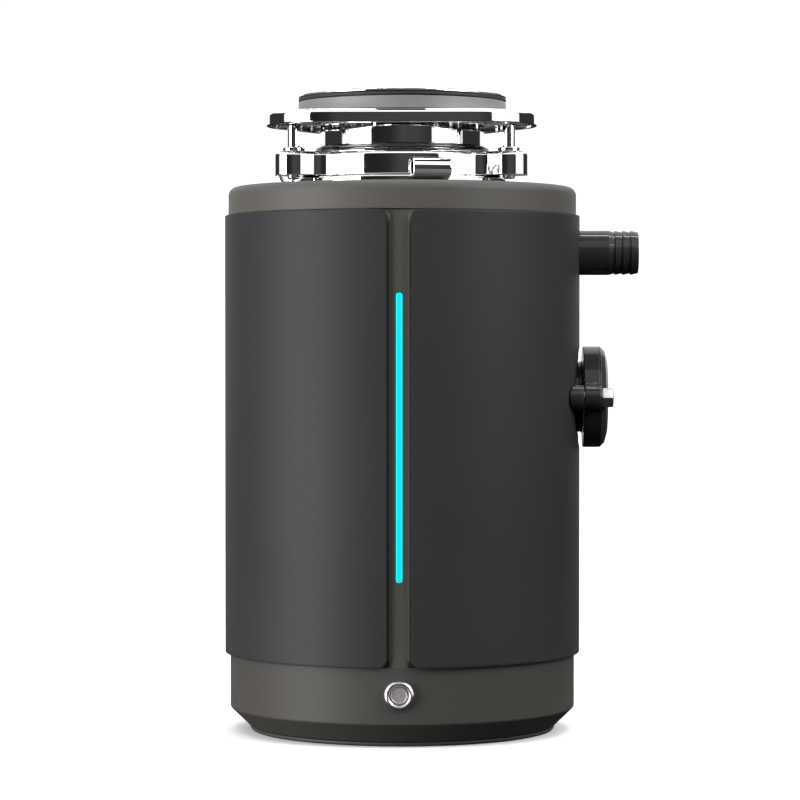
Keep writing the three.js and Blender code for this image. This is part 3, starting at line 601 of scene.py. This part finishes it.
def panel():
    layers = [(PANEL_R, 0.45), (PANEL_R - 0.12, 0.14), (PANEL_R - 0.45, 0.0), (PANEL_IN + 0.15, 0.0), (PANEL_IN, 0.15)]
    grids = [panel_layer(*l) for l in layers]
    nc, nr = grids[0].shape[:2]
    size = nc * nr
    verts = np.concatenate([g.reshape(-1, 3) for g in grids])
    faces = []
    for g in (0, len(grids) - 1):
        for i in range(nc - 1):
            for j in range(nr - 1):
                k = g * size + i * nr + j
                faces.append((k, k + nr, k + nr + 1, k + 1))
    rim = [i * nr for i in range(nc)] + [(nc - 1) * nr + j for j in range(1, nr)]
    rim += [i * nr + nr - 1 for i in range(nc - 2, -1, -1)] + [j for j in range(nr - 2, 0, -1)]
    for g in range(len(grids) - 1):
        for i, a in enumerate(rim):
            b = rim[(i + 1) % len(rim)]
            faces.append((g * size + a, g * size + b, (g + 1) * size + b, (g + 1) * size + a))
    used = sorted({v for f in faces for v in f})
    where = {v: i for i, v in enumerate(used)}
    return verts[used], [tuple(where[v] for v in f) for f in faces]


skin = raw("outer_skin", *panel())
cut(skin, cylinder(27.6, (60, 0, 177.8), (110, 0, 177.8), 128), cylinder(12.7, (60, 0, 254.9), (110, 0, 254.9), 96))
piece(skin, "panel_wrap", SKIN, ["outer_skin"], sharp=28)

cap = raw("cap", *revolve(rounded([
    (90.2, 267, 0.3), (92.8, 267, 0.4), (92.8, 274.6, 0.1), (93.1, 274.9, 0.3), (93.1, 289.7, 4.4), (50.6, 289.7, 0.8),
    (50.6, 287.1, 0.3), (86.6, 287.1, 3.0), (90.2, 283.5, 1.0)], steps=8), 288))
cut(cap, slab(-14.4, 14.4, -100, -80, 260, 274.9))
piece(cap, "cap_moulding", BRONZE, ["top_cap"])

base = raw("base", *revolve(rounded([
    (70, 2.3, 0), (81.8, 2.3, 1.2), (92.2, 12.3, 1.6), (92.2, 62, 0.5), (89.4, 62, 0.3), (89.4, 13.6, 1), (80.4, 5.1, 1), (70, 5.1, 0)], steps=7), 288))
cut(base, slab(-14.4, 14.4, -100, -80, 41.3, 70), cylinder(6.3, (0, -80, 27.4), (0, -100, 27.4), 96), cylinder(8.9, (0, 80, 27), (0, 100, 27), 96))
piece(base, "base_moulding", BASE_SHADED_BRONZE, ["base_housing"])

# ---------------------------------------------------------------- the channel down the front
RAIL_LOW, RAIL_HIGH = 41.3, 274.7


def rail():
    zs = np.concatenate([
        np.linspace(RAIL_LOW, 52, 44), np.linspace(52, 84, 6)[1:], np.linspace(84, 233, 12)[1:], np.linspace(233, 262, 5)[1:],
        np.linspace(262, 273.6, 40)[1:], [274.1, 274.35, 274.55, RAIL_HIGH]])
    tuck = np.concatenate([np.zeros(len(zs) - 4), [0.02, 0.06, 0.12, 0.24]])
    floor_x = np.linspace(0, 1, 9)
    bend = np.linspace(0, math.pi / 2, 12)
    cove = [(2.65 - 2.35 * math.sin(a), 2.3 * (1 - math.cos(a))) for a in bend]  # (distance from the panel, height above the floor)
    lip = [(0.24, 2.28), (0.19, 2.2), (0.17, 2.0), (0.16, 1.3)]
    loops = []
    for z, t in zip(zs, tuck):
        low, high = PANEL_LOW + FLARE - z, z - (PANEL_HIGH - FLARE)
        up_by = max(low, high, 0.0)
        up_by = min(up_by, FLARE)

        def at(d):
            if up_by <= 0:
                return GAP - d
            return GAP + FLARE - math.sqrt(max((FLARE + d) ** 2 - up_by ** 2, 0))

        ends = float(smoothstep(RAIL_LOW + 0.2, RAIL_LOW + 6.5, z) * (1 - 0.85 * smoothstep(PANEL_HIGH - 5.5, PANEL_HIGH - 0.2, z)))
        flat = float(smoothstep(RAIL_LOW, 53, z))
        half = []
        foot = at(2.65)
        for u in floor_x[:-1]:
            half.append((u * foot, 0.0, 0))
        for d, h in cove:
            half.append((at(d), h, 0))
        for d, h in lip:
            half.append((at(d), h, 0))
        edge = at(0.12)
        for u in (0.0, 0.3, 0.65, 1.0):
            half.append((edge + (14.0 - edge) * u, 0.0, 1))
        front = []
        for x, h, wing in half:
            base_y = math.sqrt(92.2 ** 2 - x * x)
            if wing:
                y = base_y + (math.sqrt(92.9 ** 2 - x * x) - base_y) * ends
            else:
                y = base_y + (91.9 - base_y) * flat + h * ends
            front.append((x, -(y - t), z))
        left = [(-x, y, zz) for x, y, zz in front[:0:-1]]
        back = [(x, -math.sqrt(89.8 ** 2 - x * x), z) for x in np.linspace(14, -14, 9)]
        loops.append(left + front + back)
    return loops_solid(loops, wrap=False)


def round_bar(half_x, z0, z1, corner, y_front, y_back, edge=0.0, steps=10, seg=None):
    """A bar with round corners in the front view and, where edge is above zero, a rounded front edge."""
    def loop(inset, y):
        pts = []
        r = max(corner - inset, 0.05)
        for cx, cz, a0 in ((half_x - corner, z1 - corner, 0), (-half_x + corner, z1 - corner, 90), (-half_x + corner, z0 + corner, 180), (half_x - corner, z0 + corner, 270)):
            for k in range(steps + 1):
                a = deg(a0 + 90 * k / steps)
                pts.append((cx + r * math.cos(a), y, cz + r * math.sin(a)))
        return pts

    loops = []
    if edge:
        for k in range(6):
            a = deg(90 * k / 5)
            loops.append(loop(edge * (1 - math.sin(a)), y_front + edge * (1 - math.cos(a))))
    else:
        loops.append(loop(0, y_front))
    loops.append(loop(0, y_back))
    return loops_solid(loops, wrap=False)


channel = raw("rail", *rail())
cut(channel, raw("cutter", *round_bar(1.78, 84.3, 232.4, 1.4, -96, -84)))
piece(channel, "front_channel", TRENCH_SHADED, ["front_rail"], sharp=40)
piece(raw("bar", *round_bar(1.62, 84.6, 232.1, 1.2, -92.2, -88.4, edge=0.45)), "light_bar_diffuser", LIGHT, ["light_diffuser"])

# ---------------------------------------------------------------- push button
FRONT, BUTTON_Z = -92.4, 27.4
piece(raw("bezel", *revolve(rounded([
    (4.8, 1.6, 0.35), (4.8, -12.9, 0), (2.2, -12.9, 0), (2.2, -15, 0), (6, -15, 0.2), (6, 0, 0.1), (7.7, 0, 0.25), (7.7, 1.5, 0.9),
    (6.7, 2.6, 0.7), (5.6, 2.6, 0.5)], steps=6), 160, out_front(FRONT, BUTTON_Z))), "button_collar", BEZEL, ["button_bezel"])
piece(raw("cap", *revolve(rounded([
    (0, 1.62, 0), (3.62, 1.62, 0.08), (3.75, 1.8, 0.08), (4.1, 1.8, 0.1), (4.5, 1.35, 0.15), (4.5, -8.2, 0.2), (1.5, -8.2, 0), (1.5, -12.2, 0.3), (0, -12.2, 0)],
    closed=False, steps=5), 144, out_front(FRONT, BUTTON_Z))), "button_cap", SATIN, ["button_plunger"], body="push_button")


def coil():
    """The return spring behind the cap: two and a half turns of round wire."""
    loops = []
    for t in np.linspace(0, 1, 141):
        a = 2.5 * TAU * t
        ring = []
        for b in np.arange(12) * TAU / 12:
            r, out = 3.1 + 0.36 * math.cos(b), -12.1 + 3.1 * t + 0.36 * math.sin(b)
            ring.append((r * math.cos(a), -92.4 - out, 27.4 + r * math.sin(a)))
        loops.append(ring)
    return loops_solid(loops, wrap=False)


spring = piece(raw("spring", *coil()), "return_spring", FASTENER, ["button_spring"], sharp=50)
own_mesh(spring)
piece(raw("bush", *revolve(rounded([
    (5.2, -7.5, 0.2), (9.8, -7.5, 0.4), (10.2, -5.2, 0.3), (8.5, -4.8, 0.1), (8.5, 0, 0.1), (11.5, 0, 0.3), (11.5, 1.6, 0.8), (10, 2.5, 0.8), (5.2, 2.5, 0.7)],
    steps=5), 144, out_back(92.3, 27))), "cord_bush", RUBBER, ["cord_inlet_bush"])

# ---------------------------------------------------------------- sink mount
piece(raw("sleeve", *revolve(rounded([
    (41.5, 301.2, 0.3), (43.9, 301.2, 0.3), (43.9, 308.4, 0.15), (42.9, 308.7, 0.1), (42.9, 311.1, 0.1), (43.9, 311.4, 0.15), (43.9, 335.7, 1.2),
    (45.9, 337.7, 0.5), (55.6, 337.7, 0.3), (55.6, 338.4, 0.3), (55, 339, 0.3), (46.8, 339, 1.2), (45, 338.3, 1.2), (43, 336.3, 1.6), (41.5, 333.5, 2)], steps=7), 256)),
    "sink_sleeve", SLEEVE, ["sink_flange"])
piece(raw("seal", *revolve(rounded([(46.2, 335.5, 0.5), (55.6, 335.5, 0.7), (55.6, 337.4, 0.7), (46.2, 337.4, 0.5)], steps=5), 224)),
      "sink_seal", RUBBER, ["sink_gasket"])
piece(raw("pad", *revolve(rounded([(44.4, 328.6, 0.4), (55.6, 328.6, 0.5), (55.6, 335.2, 0.4), (44.4, 335.2, 0.4)], steps=5), 224)),
      "fibre_washer", GASKET, ["fibre_gasket"])

SCREWS = [(65.4 * math.cos(deg(a)), 65.4 * math.sin(deg(a))) for a in (-30, 90, 210)]

upper = triangle(37.7, 39.4, [-30, 90, 210])
th = even(upper, 384)
top_plate = raw("upper", *plate(
    upper, th,
    rounded([(7, 325.4), (3.0, 325.4, 0.9), (3.0, 321, 0.4), (0, 321, 0.9), (0, 328.3, 2.3), (7, 328.3)], closed=False, steps=8),
    rounded([(46.4, 328.3), (44.4, 328.3, 1.3), (44.4, 325.4, 0.5), (46.4, 325.4)], closed=False, steps=6)))
cut(top_plate, *[cylinder(2.2, (x, y, 318), (x, y, 325.6), 48) for x, y in SCREWS])
piece(top_plate, "clamp_plate_upper", CHROME, ["upper_mounting_plate"])

lower = eared(53.7, 10.1, 6.5, [-30, 90, 210], 65.4)
th = even(lower, 384)
low_plate = raw("lower", *plate(
    lower, th,
    rounded([(1.2, 294.6), (0, 294.6, 0.5), (0, 307.2, 2.6), (5, 307.2)], closed=False, steps=8),
    rounded([(52.4, 307.2), (51.4, 307.2, 0.4), (50.2, 308.3, 0.5), (44.6, 308.3, 0.5), (44.6, 305.2, 0.3), (52, 305.2, 0.3), (52, 294.6, 0.2), (52.3, 294.6)],
            closed=False, steps=5), least=52.4))
cut(low_plate, *[cylinder(3.55, (x, y, 290), (x, y, 312), 64) for x, y in SCREWS])
piece(low_plate, "clamp_plate_lower", CHROME, ["lower_mounting_plate"])


def screw(cx, cy, z0, z1, r, depth, pitch, seg=48):
    """A threaded rod: one helical ridge on a core, with chamfered ends and a collar."""
    th_ = np.arange(seg) * TAU / seg
    loops = []

    def ring(radius, z):
        loops.append(np.stack([cx + radius * np.cos(th_), cy + radius * np.sin(th_), np.full(seg, z)], -1))

    def thread(a, b):
        for z in np.arange(a, b, pitch / 8):
            phase = (z / pitch - th_ / TAU) % 1.0
            wave = 0.5 + 0.5 * np.cos(TAU * phase)
            fade = smoothstep(a, a + 0.8, z) * (1 - smoothstep(b - 0.9, b - 0.1, z))
            ring(r - depth * (1 - wave ** 0.7) * fade, z)

    ring(r - 0.9, z0)
    ring(r - 0.3, z0 + 0.3)
    ring(r, z0 + 0.7)
    thread(z0 + 0.9, 307.1)
    for radius, z in rounded([(r, 307.3), (5.8, 307.5, 0.3), (5.8, 309.4, 0.5), (r, 309.5)], closed=False, steps=4):
        ring(radius, z)
    for z in np.linspace(309.9, z1 - 0.8, 8):
        ring(r, z)
    ring(r, z1 - 0.5)
    ring(r - 0.5, z1)
    return loops_solid(loops, wrap=False)


for i, (x, y) in enumerate(SCREWS):
    rod = raw("screw", *screw(x, y, 292.8, 325.2, 3.25, 0.32, 1.25))
    cut(rod, slab(x - 5, x + 5, y - 0.6, y + 0.6, 291, 294.4))
    piece(rod, f"clamp_screw_{i + 1}", CHROME, [f"mounting_screw_{i + 1}"], sharp=50)


def clip():
    """A spring wire ring with an open gap at the back."""
    loops = []
    for a in np.linspace(deg(97), deg(83) + TAU, 200):
        ring = []
        for t in np.arange(14) * TAU / 14:
            r = 44.9 + 1.5 * np.sign(math.cos(t)) * abs(math.cos(t)) ** 0.6
            z = 309.9 + 0.9 * np.sign(math.sin(t)) * abs(math.sin(t)) ** 0.6
            ring.append((r * math.cos(a), r * math.sin(a), z))
        loops.append(ring)
    return loops_solid(loops, wrap=False)


piece(raw("clip", *clip()), "retaining_clip", SPRING, ["snap_ring"], sharp=50)

# lock ring with three rolled loops
LOOPS = [-75.4, 44.6, 164.6]


def strap(azimuth):
    """A strip that leaves the ring, curls up into an open tube and stops just short of itself."""
    rho, zc, mean, half = 62.3, 297.3, 4.52, 0.92
    line = [(54.5, 291.9), (56.6, 291.9), (58.6, 291.95), (60.4, 292.3)]
    start = deg(-104)
    for k in range(61):
        a = start + deg(338) * k / 60
        line.append((rho + mean * math.cos(a), zc + mean * math.sin(a)))
    line = np.array(line)
    tangent = np.gradient(line, axis=0)
    tangent /= np.linalg.norm(tangent, axis=1)[:, None]
    side = np.stack([-tangent[:, 1], tangent[:, 0]], -1)

    def section(inset):
        h = half - inset
        pts = [p + s * h for p, s in zip(line, side)]
        end, t, s = line[-1], tangent[-1], side[-1]
        tip = [end + t * (half - inset) * math.sin(a) * 0.7 + s * h * math.cos(a) for a in np.linspace(0, math.pi, 9)[1:-1]]
        pts += tip + [p - s * h for p, s in zip(line[::-1], side[::-1])]
        return np.array(pts)

    a = deg(azimuth)
    radial, along = np.array([math.cos(a), math.sin(a)]), np.array([-math.sin(a), math.cos(a)])
    loops = []
    for t, inset in ((-10, 0.42), (-9.94, 0.18), (-9.72, 0.03), (-9.4, 0), (9.4, 0), (9.72, 0.03), (9.94, 0.18), (10, 0.42)):
        sec = section(inset)
        xy = sec[:, :1] * radial + t * along
        loops.append(np.concatenate([xy, sec[:, 1:]], 1))
    return loops_solid(loops, wrap=False)


collar = raw("collar", *revolve(rounded([
    (49.8, 290.3, 0.3), (58, 290.3, 0.8), (58, 293.9, 0.9), (51.6, 294.3, 0.6), (51.6, 304.6, 0.5), (49.8, 304.6, 0.5)], steps=6), 256))
cut(collar, *[raw("cutter", *strap(a)) for a in LOOPS], operation="UNION")
piece(collar, "lock_collar_ring", CHROME, ["lock_ring"], body="lock_collar", sharp=40)

baffle = raw("baffle", *revolve(rounded([
    (49.3, 293.4, 0.2), (49.3, 300.8, 0.6), (41.2, 300.8, 1.2), (19.4, 291.2, 0.9), (19.4, 289.4, 0.7), (38.5, 296.4, 1.0), (45, 293.4, 1.0)], steps=5), 216))
cuts = []
for i in range(6):
    a = deg(30 + 60 * i)
    d, s = Vector((math.cos(a), math.sin(a), 0)), Vector((-math.sin(a), math.cos(a), 0)) * 0.7
    quad = [d * 10 - s, d * 35 - s, d * 35 + s, d * 10 + s]
    cuts.append(raw("cutter", *loops_solid([[(q.x, q.y, z) for q in quad] for z in (285, 305)], wrap=False)))
cut(baffle, *cuts)
piece(baffle, "throat_baffle", RUBBER, ["splash_baffle"])

# ---------------------------------------------------------------- dishwasher inlet
INLET_Z, OUT_Z = 254.9, 177.8
piece(raw("nipple", *revolve(rounded([
    (7.6, 71.8, 0.3), (11.9, 71.8, 0.3), (11.9, 80.4, 0.2), (14.8, 80.4, 0.4), (14.8, 83.2, 0.5), (11.9, 83.2, 0.6),
    (11.9, 110.4, 0.3), (11.1, 113.3, 0.3), (11.8, 113.8, 0.22), (11.1, 117.4, 0.3), (11.8, 117.9, 0.22), (11.1, 121.7, 0.3), (11.8, 122.2, 0.22), (11.0, 126.3, 0.6), (7.6, 126.3, 0.7)],
    steps=5), 160, out_x(INLET_Z))), "dishwasher_nipple", BLACK, ["dishwasher_inlet"])
piece(raw("ring", *revolve(rounded([(12.3, 78.3, 0.4), (14.8, 78.3, 0.6), (14.8, 80.1, 0.6), (12.3, 80.1, 0.4)]), 128, out_x(INLET_Z))),
      "nipple_seal", RUBBER, ["inlet_seal"])


# ---------------------------------------------------------------- discharge outlet
def across(c, s, h):
    return np.stack([h, c, OUT_Z + s], -1)


EARS = 29.5


def bar_distance(p, half, r):
    q = np.clip(p[..., 0], -half, half)
    return np.hypot(p[..., 0] - q, p[..., 1]) - r


ears = lobed(26.6, 6.6, 4, [0, 180], EARS)
th = even(ears, 288)
c_, s_ = np.cos(th), np.sin(th)
body = np.maximum(reach(ears, th, 0.0), 27.0)
loops = []
for inset, x in rounded([(10.5, 96.7), (0, 96.7, 0.5), (0, 105.3, 0.7), (6, 105.3)], closed=False, steps=5):
    if inset > 5:
        continue
    r = np.maximum(reach(ears, th, inset), 27.0 - min(inset, 0.5))
    if x > 105.2:
        r = np.maximum(r, 27.0)
    loops.append(across(r * c_, r * s_, np.full_like(r, x)))
for r, x in rounded([(27.0, 105.3), (27, 105.8, 0.4), (24.6, 108.2, 0.5), (19.5, 109.6, 0.8), (16.5, 109.6, 0.9), (16.5, 96.7, 0.4), (20, 96.7)], closed=False, steps=5)[1:]:
    loops.append(across(r * c_, r * s_, np.full_like(th, x)))
flange = raw("flange", *loops_solid(loops))
cut(flange, *[cylinder(3.4, (94, s * EARS, OUT_Z), (108, s * EARS, OUT_Z), 48) for s in (-1, 1)])
piece(flange, "outlet_flange", BLACK, ["discharge_flange"])


def hexagon(th_, flat):
    return flat / 2 / np.cos((th_ % (math.pi / 3)) - math.pi / 6)


def hex_bolt(y, x0, x1, flat, shank, x_start):
    th_ = np.arange(144) * TAU / 144
    c, s = np.cos(th_), np.sin(th_)
    r_hex = hexagon(th_, flat)
    loops = []

    def ring(r, x):
        r = np.broadcast_to(r, th_.shape)
        x = np.broadcast_to(x, th_.shape)
        loops.append(np.stack([x, y + r * c, OUT_Z + r * s], -1))

    ring(shank - 0.5, x_start)
    ring(shank, x_start + 0.5)
    ring(shank, x0 + 0.05)
    ring(flat / 2 * 0.96, x0)
    ring(flat / 2 * 0.985, x0 + 0.45)
    ring(r_hex * 0.985, x0 + 0.5)
    ring(r_hex, x0 + 0.65)
    crown = flat / 2 * 0.9
    top = lambda r: x1 - np.maximum(r - crown, 0) * 0.62
    ring(r_hex, top(r_hex) - 0.12)
    ring(r_hex * 0.985, top(r_hex * 0.985))
    for f in (0.75, 0.5, 0.25):
        rr = crown + (r_hex * 0.985 - crown) * f
        ring(rr, top(rr))
    ring(crown, x1)
    ring(crown * 0.97, x1)
    ring(2.6, x1)
    ring(2.5, x1 - 0.25)
    ring(0.4, x1 - 0.3)
    return loops_solid(loops, wrap=False)


for i, s in enumerate((-1, 1)):
    piece(raw("bolt", *hex_bolt(s * EARS, 105.6, 111.7, 10, 3, 92.6)), f"flange_bolt_{i + 1}", FASTENER, [f"discharge_bolt_{i + 1}"], sharp=25)

wide = lambda p: np.minimum(bar_distance(p, EARS, 6.6), np.hypot(p[..., 0], p[..., 1]) - 19.4)
th = even(wide, 256)
c_, s_ = np.cos(th), np.sin(th)
saddle = lambda r, R: np.sqrt(R * R - (r * c_) ** 2)
loops = []
for r, x in ((15.5, 71.9), (18.8, 71.9), (18.8, 86.0)):
    loops.append(across(r * c_, r * s_, np.full_like(th, x)))
r = np.full_like(th, 18.8)
loops.append(across(r * c_, r * s_, saddle(r, 95.6)))
for inset, at, lift in ((0.4, None, 0.0), (0.0, None, 0.4), (0.0, 95.9, 0), (0.15, 96.25, 0), (0.5, 96.4, 0)):
    r = reach(wide, th, inset)
    x = saddle(r, 95.6) + lift if at is None else np.maximum(np.full_like(th, at), saddle(r, 95.6) + 0.5)
    x = np.minimum(x, 96.4)
    loops.append(across(r * c_, r * s_, x))
loops.append(across(17 * c_, 17 * s_, np.full_like(th, 96.4)))
loops.append(across(15.5 * c_, 15.5 * s_, np.full_like(th, 96.0)))
piece(raw("spout", *loops_solid(loops)), "outlet_spout", BLACK, ["discharge_spout"])

th = np.arange(192) * TAU / 192
c_, s_ = np.cos(th), np.sin(th)
loops = []
for r, x in ((19.1, 86.8), (19.4, 86.5), (26.7, 86.5), (27.1, 86.9)):
    loops.append(across(r * c_, r * s_, np.full_like(th, x)))
for r, R in ((27.1, 93.7), (26.8, 94.2), (26.0, 94.4), (22.0, 94.4), (20.0, 94.1), (19.1, 93.6)):
    loops.append(across(r * c_, r * s_, np.sqrt(R * R - (r * c_) ** 2)))
piece(raw("grommet", *loops_solid(loops)), "outlet_grommet_ring", RUBBER, ["outlet_grommet"])

# ---------------------------------------------------------------- underside
bottom = raw("bottom", *revolve(rounded([
    (0, 0, 0), (80.9, 0, 0.9), (81.5, 1.0, 0.3), (81.5, 2.0, 0.3), (69.4, 2.0, 0.1), (69.4, 4.6, 0.3), (0, 4.6, 0)], closed=False, steps=4), 256))
cuts = []
for i in range(6):
    a = deg(30 + 60 * i)
    d, s = np.array([math.cos(a), math.sin(a)]), np.array([-math.sin(a), math.cos(a)])
    pts = []
    for centre, a0 in ((36.6, 90), (55.4, -90)):
        for k in range(13):
            t = deg(a0 + 180 * k / 12)
            q = d * (centre + 2.6 * math.cos(t)) + s * 2.6 * math.sin(t)
            pts.append(tuple(q))
    cuts.append(raw("cutter", *loops_solid([[(x, y, z) for x, y in pts] for z in (-2, 8)], wrap=False)))
for a in (90, 210, 330):
    x, y = 75 * math.cos(deg(a)), 75 * math.sin(deg(a))
    cuts += [cylinder(4.4, (x, y, -1), (x, y, 1.3), 48), cylinder(2.3, (x, y, -1), (x, y, 8), 40)]
cut(bottom, *cuts)
piece(bottom, "underside_cover", BASE_SHADED_BRONZE, ["bottom_cover"])
for i, a in enumerate((90, 210, 330)):
    x, y = 75 * math.cos(deg(a)), 75 * math.sin(deg(a))
    place = lambda c, s, h, x=x, y=y: np.stack([x + c, y + s, h], -1)
    head = raw("screw", *revolve(rounded([(0, 0.2, 0), (3.4, 0.2, 0.4), (3.9, 0.6, 0.2), (3.9, 1.0, 0), (1.9, 1.25, 0.1), (1.9, 9.0, 0.2), (1.4, 9.5, 0), (0, 9.5, 0)], closed=False, steps=4), 64, place))
    cut(head, slab(x - 2.3, x + 2.3, y - 0.45, y + 0.45, -1, 0.75), slab(x - 0.45, x + 0.45, y - 2.3, y + 2.3, -1, 0.75))
    piece(head, f"underside_screw_{i + 1}", FASTENER, [f"base_screw_{i + 1}"])

# ---------------------------------------------------------------- CAD nodes that stay get their finish
for s in frame["record"]["subparts"]:
    ob = frame["nodes"].get(s["node"])
    if ob is None or ob.hide_render:
        continue
    for ms in ob.material_slots:
        ms.material = BY_SLOT[s["material_slot"]]

# ---------------------------------------------------------------- floor, cards, lights
def studio(name, colour, rough):
    m = bpy.data.materials.new(name)
    m.use_nodes = True
    b = m.node_tree.nodes["Principled BSDF"]
    b.inputs["Base Color"].default_value = (*colour, 1)
    b.inputs["Roughness"].default_value = rough
    b.inputs["Specular IOR Level"].default_value = 0.2
    return m


floor = raw("floor", *loops_solid([[(9000 * math.cos(a), 9000 * math.sin(a), z) for a in np.arange(96) * TAU / 96] for z in (-20.0, -0.1)], wrap=False))
floor.data.materials.append(studio("floor", (0.88, 0.88, 0.88), 0.9))
floor.visible_diffuse = floor.visible_glossy = floor.visible_shadow = False


def graded(name, stops, low, high):
    """A card whose tone runs from one end to the other along X."""
    m = bpy.data.materials.new(name)
    m.use_nodes = True
    t = m.node_tree
    b = t.nodes["Principled BSDF"]
    b.inputs["Base Color"].default_value = (0.0, 0.0, 0.0, 1)
    b.inputs["Specular IOR Level"].default_value = 0.0
    b.inputs["Emission Strength"].default_value = 1.0
    split, along, tone = t.nodes.new("ShaderNodeSeparateXYZ"), t.nodes.new("ShaderNodeMapRange"), t.nodes.new("ShaderNodeValToRGB")
    along.inputs["From Min"].default_value, along.inputs["From Max"].default_value = low, high
    while len(tone.color_ramp.elements) < len(stops):
        tone.color_ramp.elements.new(0.5)
    for e, (p, v) in zip(tone.color_ramp.elements, stops):
        e.position, e.color = p, (v, v, v, 1)
    t.links.new(t.nodes.new("ShaderNodeTexCoord").outputs["Object"], split.inputs[0])
    t.links.new(split.outputs["X"], along.inputs["Value"])
    t.links.new(along.outputs["Result"], tone.inputs["Fac"])
    t.links.new(tone.outputs["Color"], b.inputs["Emission Color"])
    return m


def card(name, middle, half, distance, z0, z1, shade=0.03):
    """A dark curved reflection card that stands around the object and that the camera doesn't see."""
    pts = []
    n = 24
    for z in (z0, z1):
        for k in range(n + 1):
            a = deg(middle - half + 2 * half * k / n)
            pts.append((distance * math.cos(a), distance * math.sin(a), z))
    faces = [(k, k + 1, n + 2 + k, n + 1 + k) for k in range(n)]
    ob = raw(name, pts, faces)
    ob.data.materials.append(studio(name, (shade, shade, shade), 0.9))
    ob.visible_camera = False
    ob.visible_shadow = True
    return ob


VIEW = -89.0
front = card("front_card", VIEW - 1.8, 42.8, 1300, 60, 900)
front.data.materials[0] = graded("front_tone", ((0.0, 0.012), (0.3, 0.024), (0.52, 0.06), (0.8, 0.055), (1.0, 0.03)), -0.86, 0.86)
card("left_card", VIEW - 115, 23, 1300, 60, 900, 0.02)
card("right_card", VIEW + 116, 24, 1300, 60, 900, 0.02)

top = raw("top_card", [(600 * math.cos(a), 600 * math.sin(a), 1340) for a in np.arange(64) * TAU / 64], [tuple(range(64))])
top.data.materials.append(studio("top_card", (0.02, 0.02, 0.02), 0.9))
top.visible_camera = top.visible_diffuse = top.visible_shadow = False

world = bpy.data.worlds.new("studio")
SCENE.world = world
world.use_nodes = True
sky = world.node_tree
where = sky.nodes.new("ShaderNodeTexCoord")
split = sky.nodes.new("ShaderNodeSeparateXYZ")
height = sky.nodes.new("ShaderNodeMapRange")
shade = sky.nodes.new("ShaderNodeValToRGB")
height.inputs["From Min"].default_value, height.inputs["From Max"].default_value = -1.0, 1.0
while len(shade.color_ramp.elements) < 5:
    shade.color_ramp.elements.new(0.5)
for e, (p, v) in zip(shade.color_ramp.elements, ((0.0, 0.01), (0.478, 0.014), (0.487, 0.64), (0.7, 0.66), (1.0, 1.0))):
    e.position, e.color = p, (v, v, v, 1)
sky.links.new(where.outputs["Generated"], split.inputs[0])
sky.links.new(split.outputs["Z"], height.inputs["Value"])
sky.links.new(height.outputs["Result"], shade.inputs["Fac"])
sky.links.new(shade.outputs["Color"], sky.nodes["Background"].inputs["Color"])
sky.nodes["Background"].inputs["Strength"].default_value = 1.75


def lamp(name, at, aim, size, power):
    data = bpy.data.lights.new(name, "AREA")
    data.shape, data.size, data.size_y, data.energy = "RECTANGLE", size[0], size[1], power
    ob = bpy.data.objects.new(name, data)
    SCENE.collection.objects.link(ob)
    ob.location = at
    ob.rotation_euler = (Vector(aim) - Vector(at)).to_track_quat("-Z", "Y").to_euler()
    ob.visible_camera = False
    return ob


def around(azimuth, distance, z):
    return distance * math.cos(deg(azimuth)), distance * math.sin(deg(azimuth)), z


lamp("left_window", around(VIEW - 60, 1.25, 0.16), (0, 0, 0.16), (0.76, 1.2), 28)
lamp("right_window", around(VIEW + 57, 1.0, 0.66), (0, 0, 0.25), (0.42, 0.6), 9)
lamp("upper_right", (1.6, -0.25, 1.4), (0.1, 0, 0.2), (0.35, 0.35), 4)
lamp("high_back", (0.1, 0.18, 1.3), (0.1, 0, 0.2), (1.0, 0.06), 7.5)

# ---------------------------------------------------------------- camera
data = bpy.data.cameras.new("camera")
data.sensor_width, data.lens, data.clip_start, data.clip_end = 36, 139.6, 0.01, 60
camera = bpy.data.objects.new("camera", data)
SCENE.collection.objects.link(camera)
a = deg(1.0)
eye = Vector((1.666 * math.sin(a), -1.666 * math.cos(a), 0.2058))
aim = Vector((-0.00124 * math.cos(a), -0.00124 * math.sin(a), 0.1760))
camera.location = eye
camera.rotation_euler = (aim - eye).to_track_quat("-Z", "Y").to_euler()
SCENE.camera = camera
SCENE.view_settings.view_transform = "Standard"
SCENE.view_settings.look = "None"
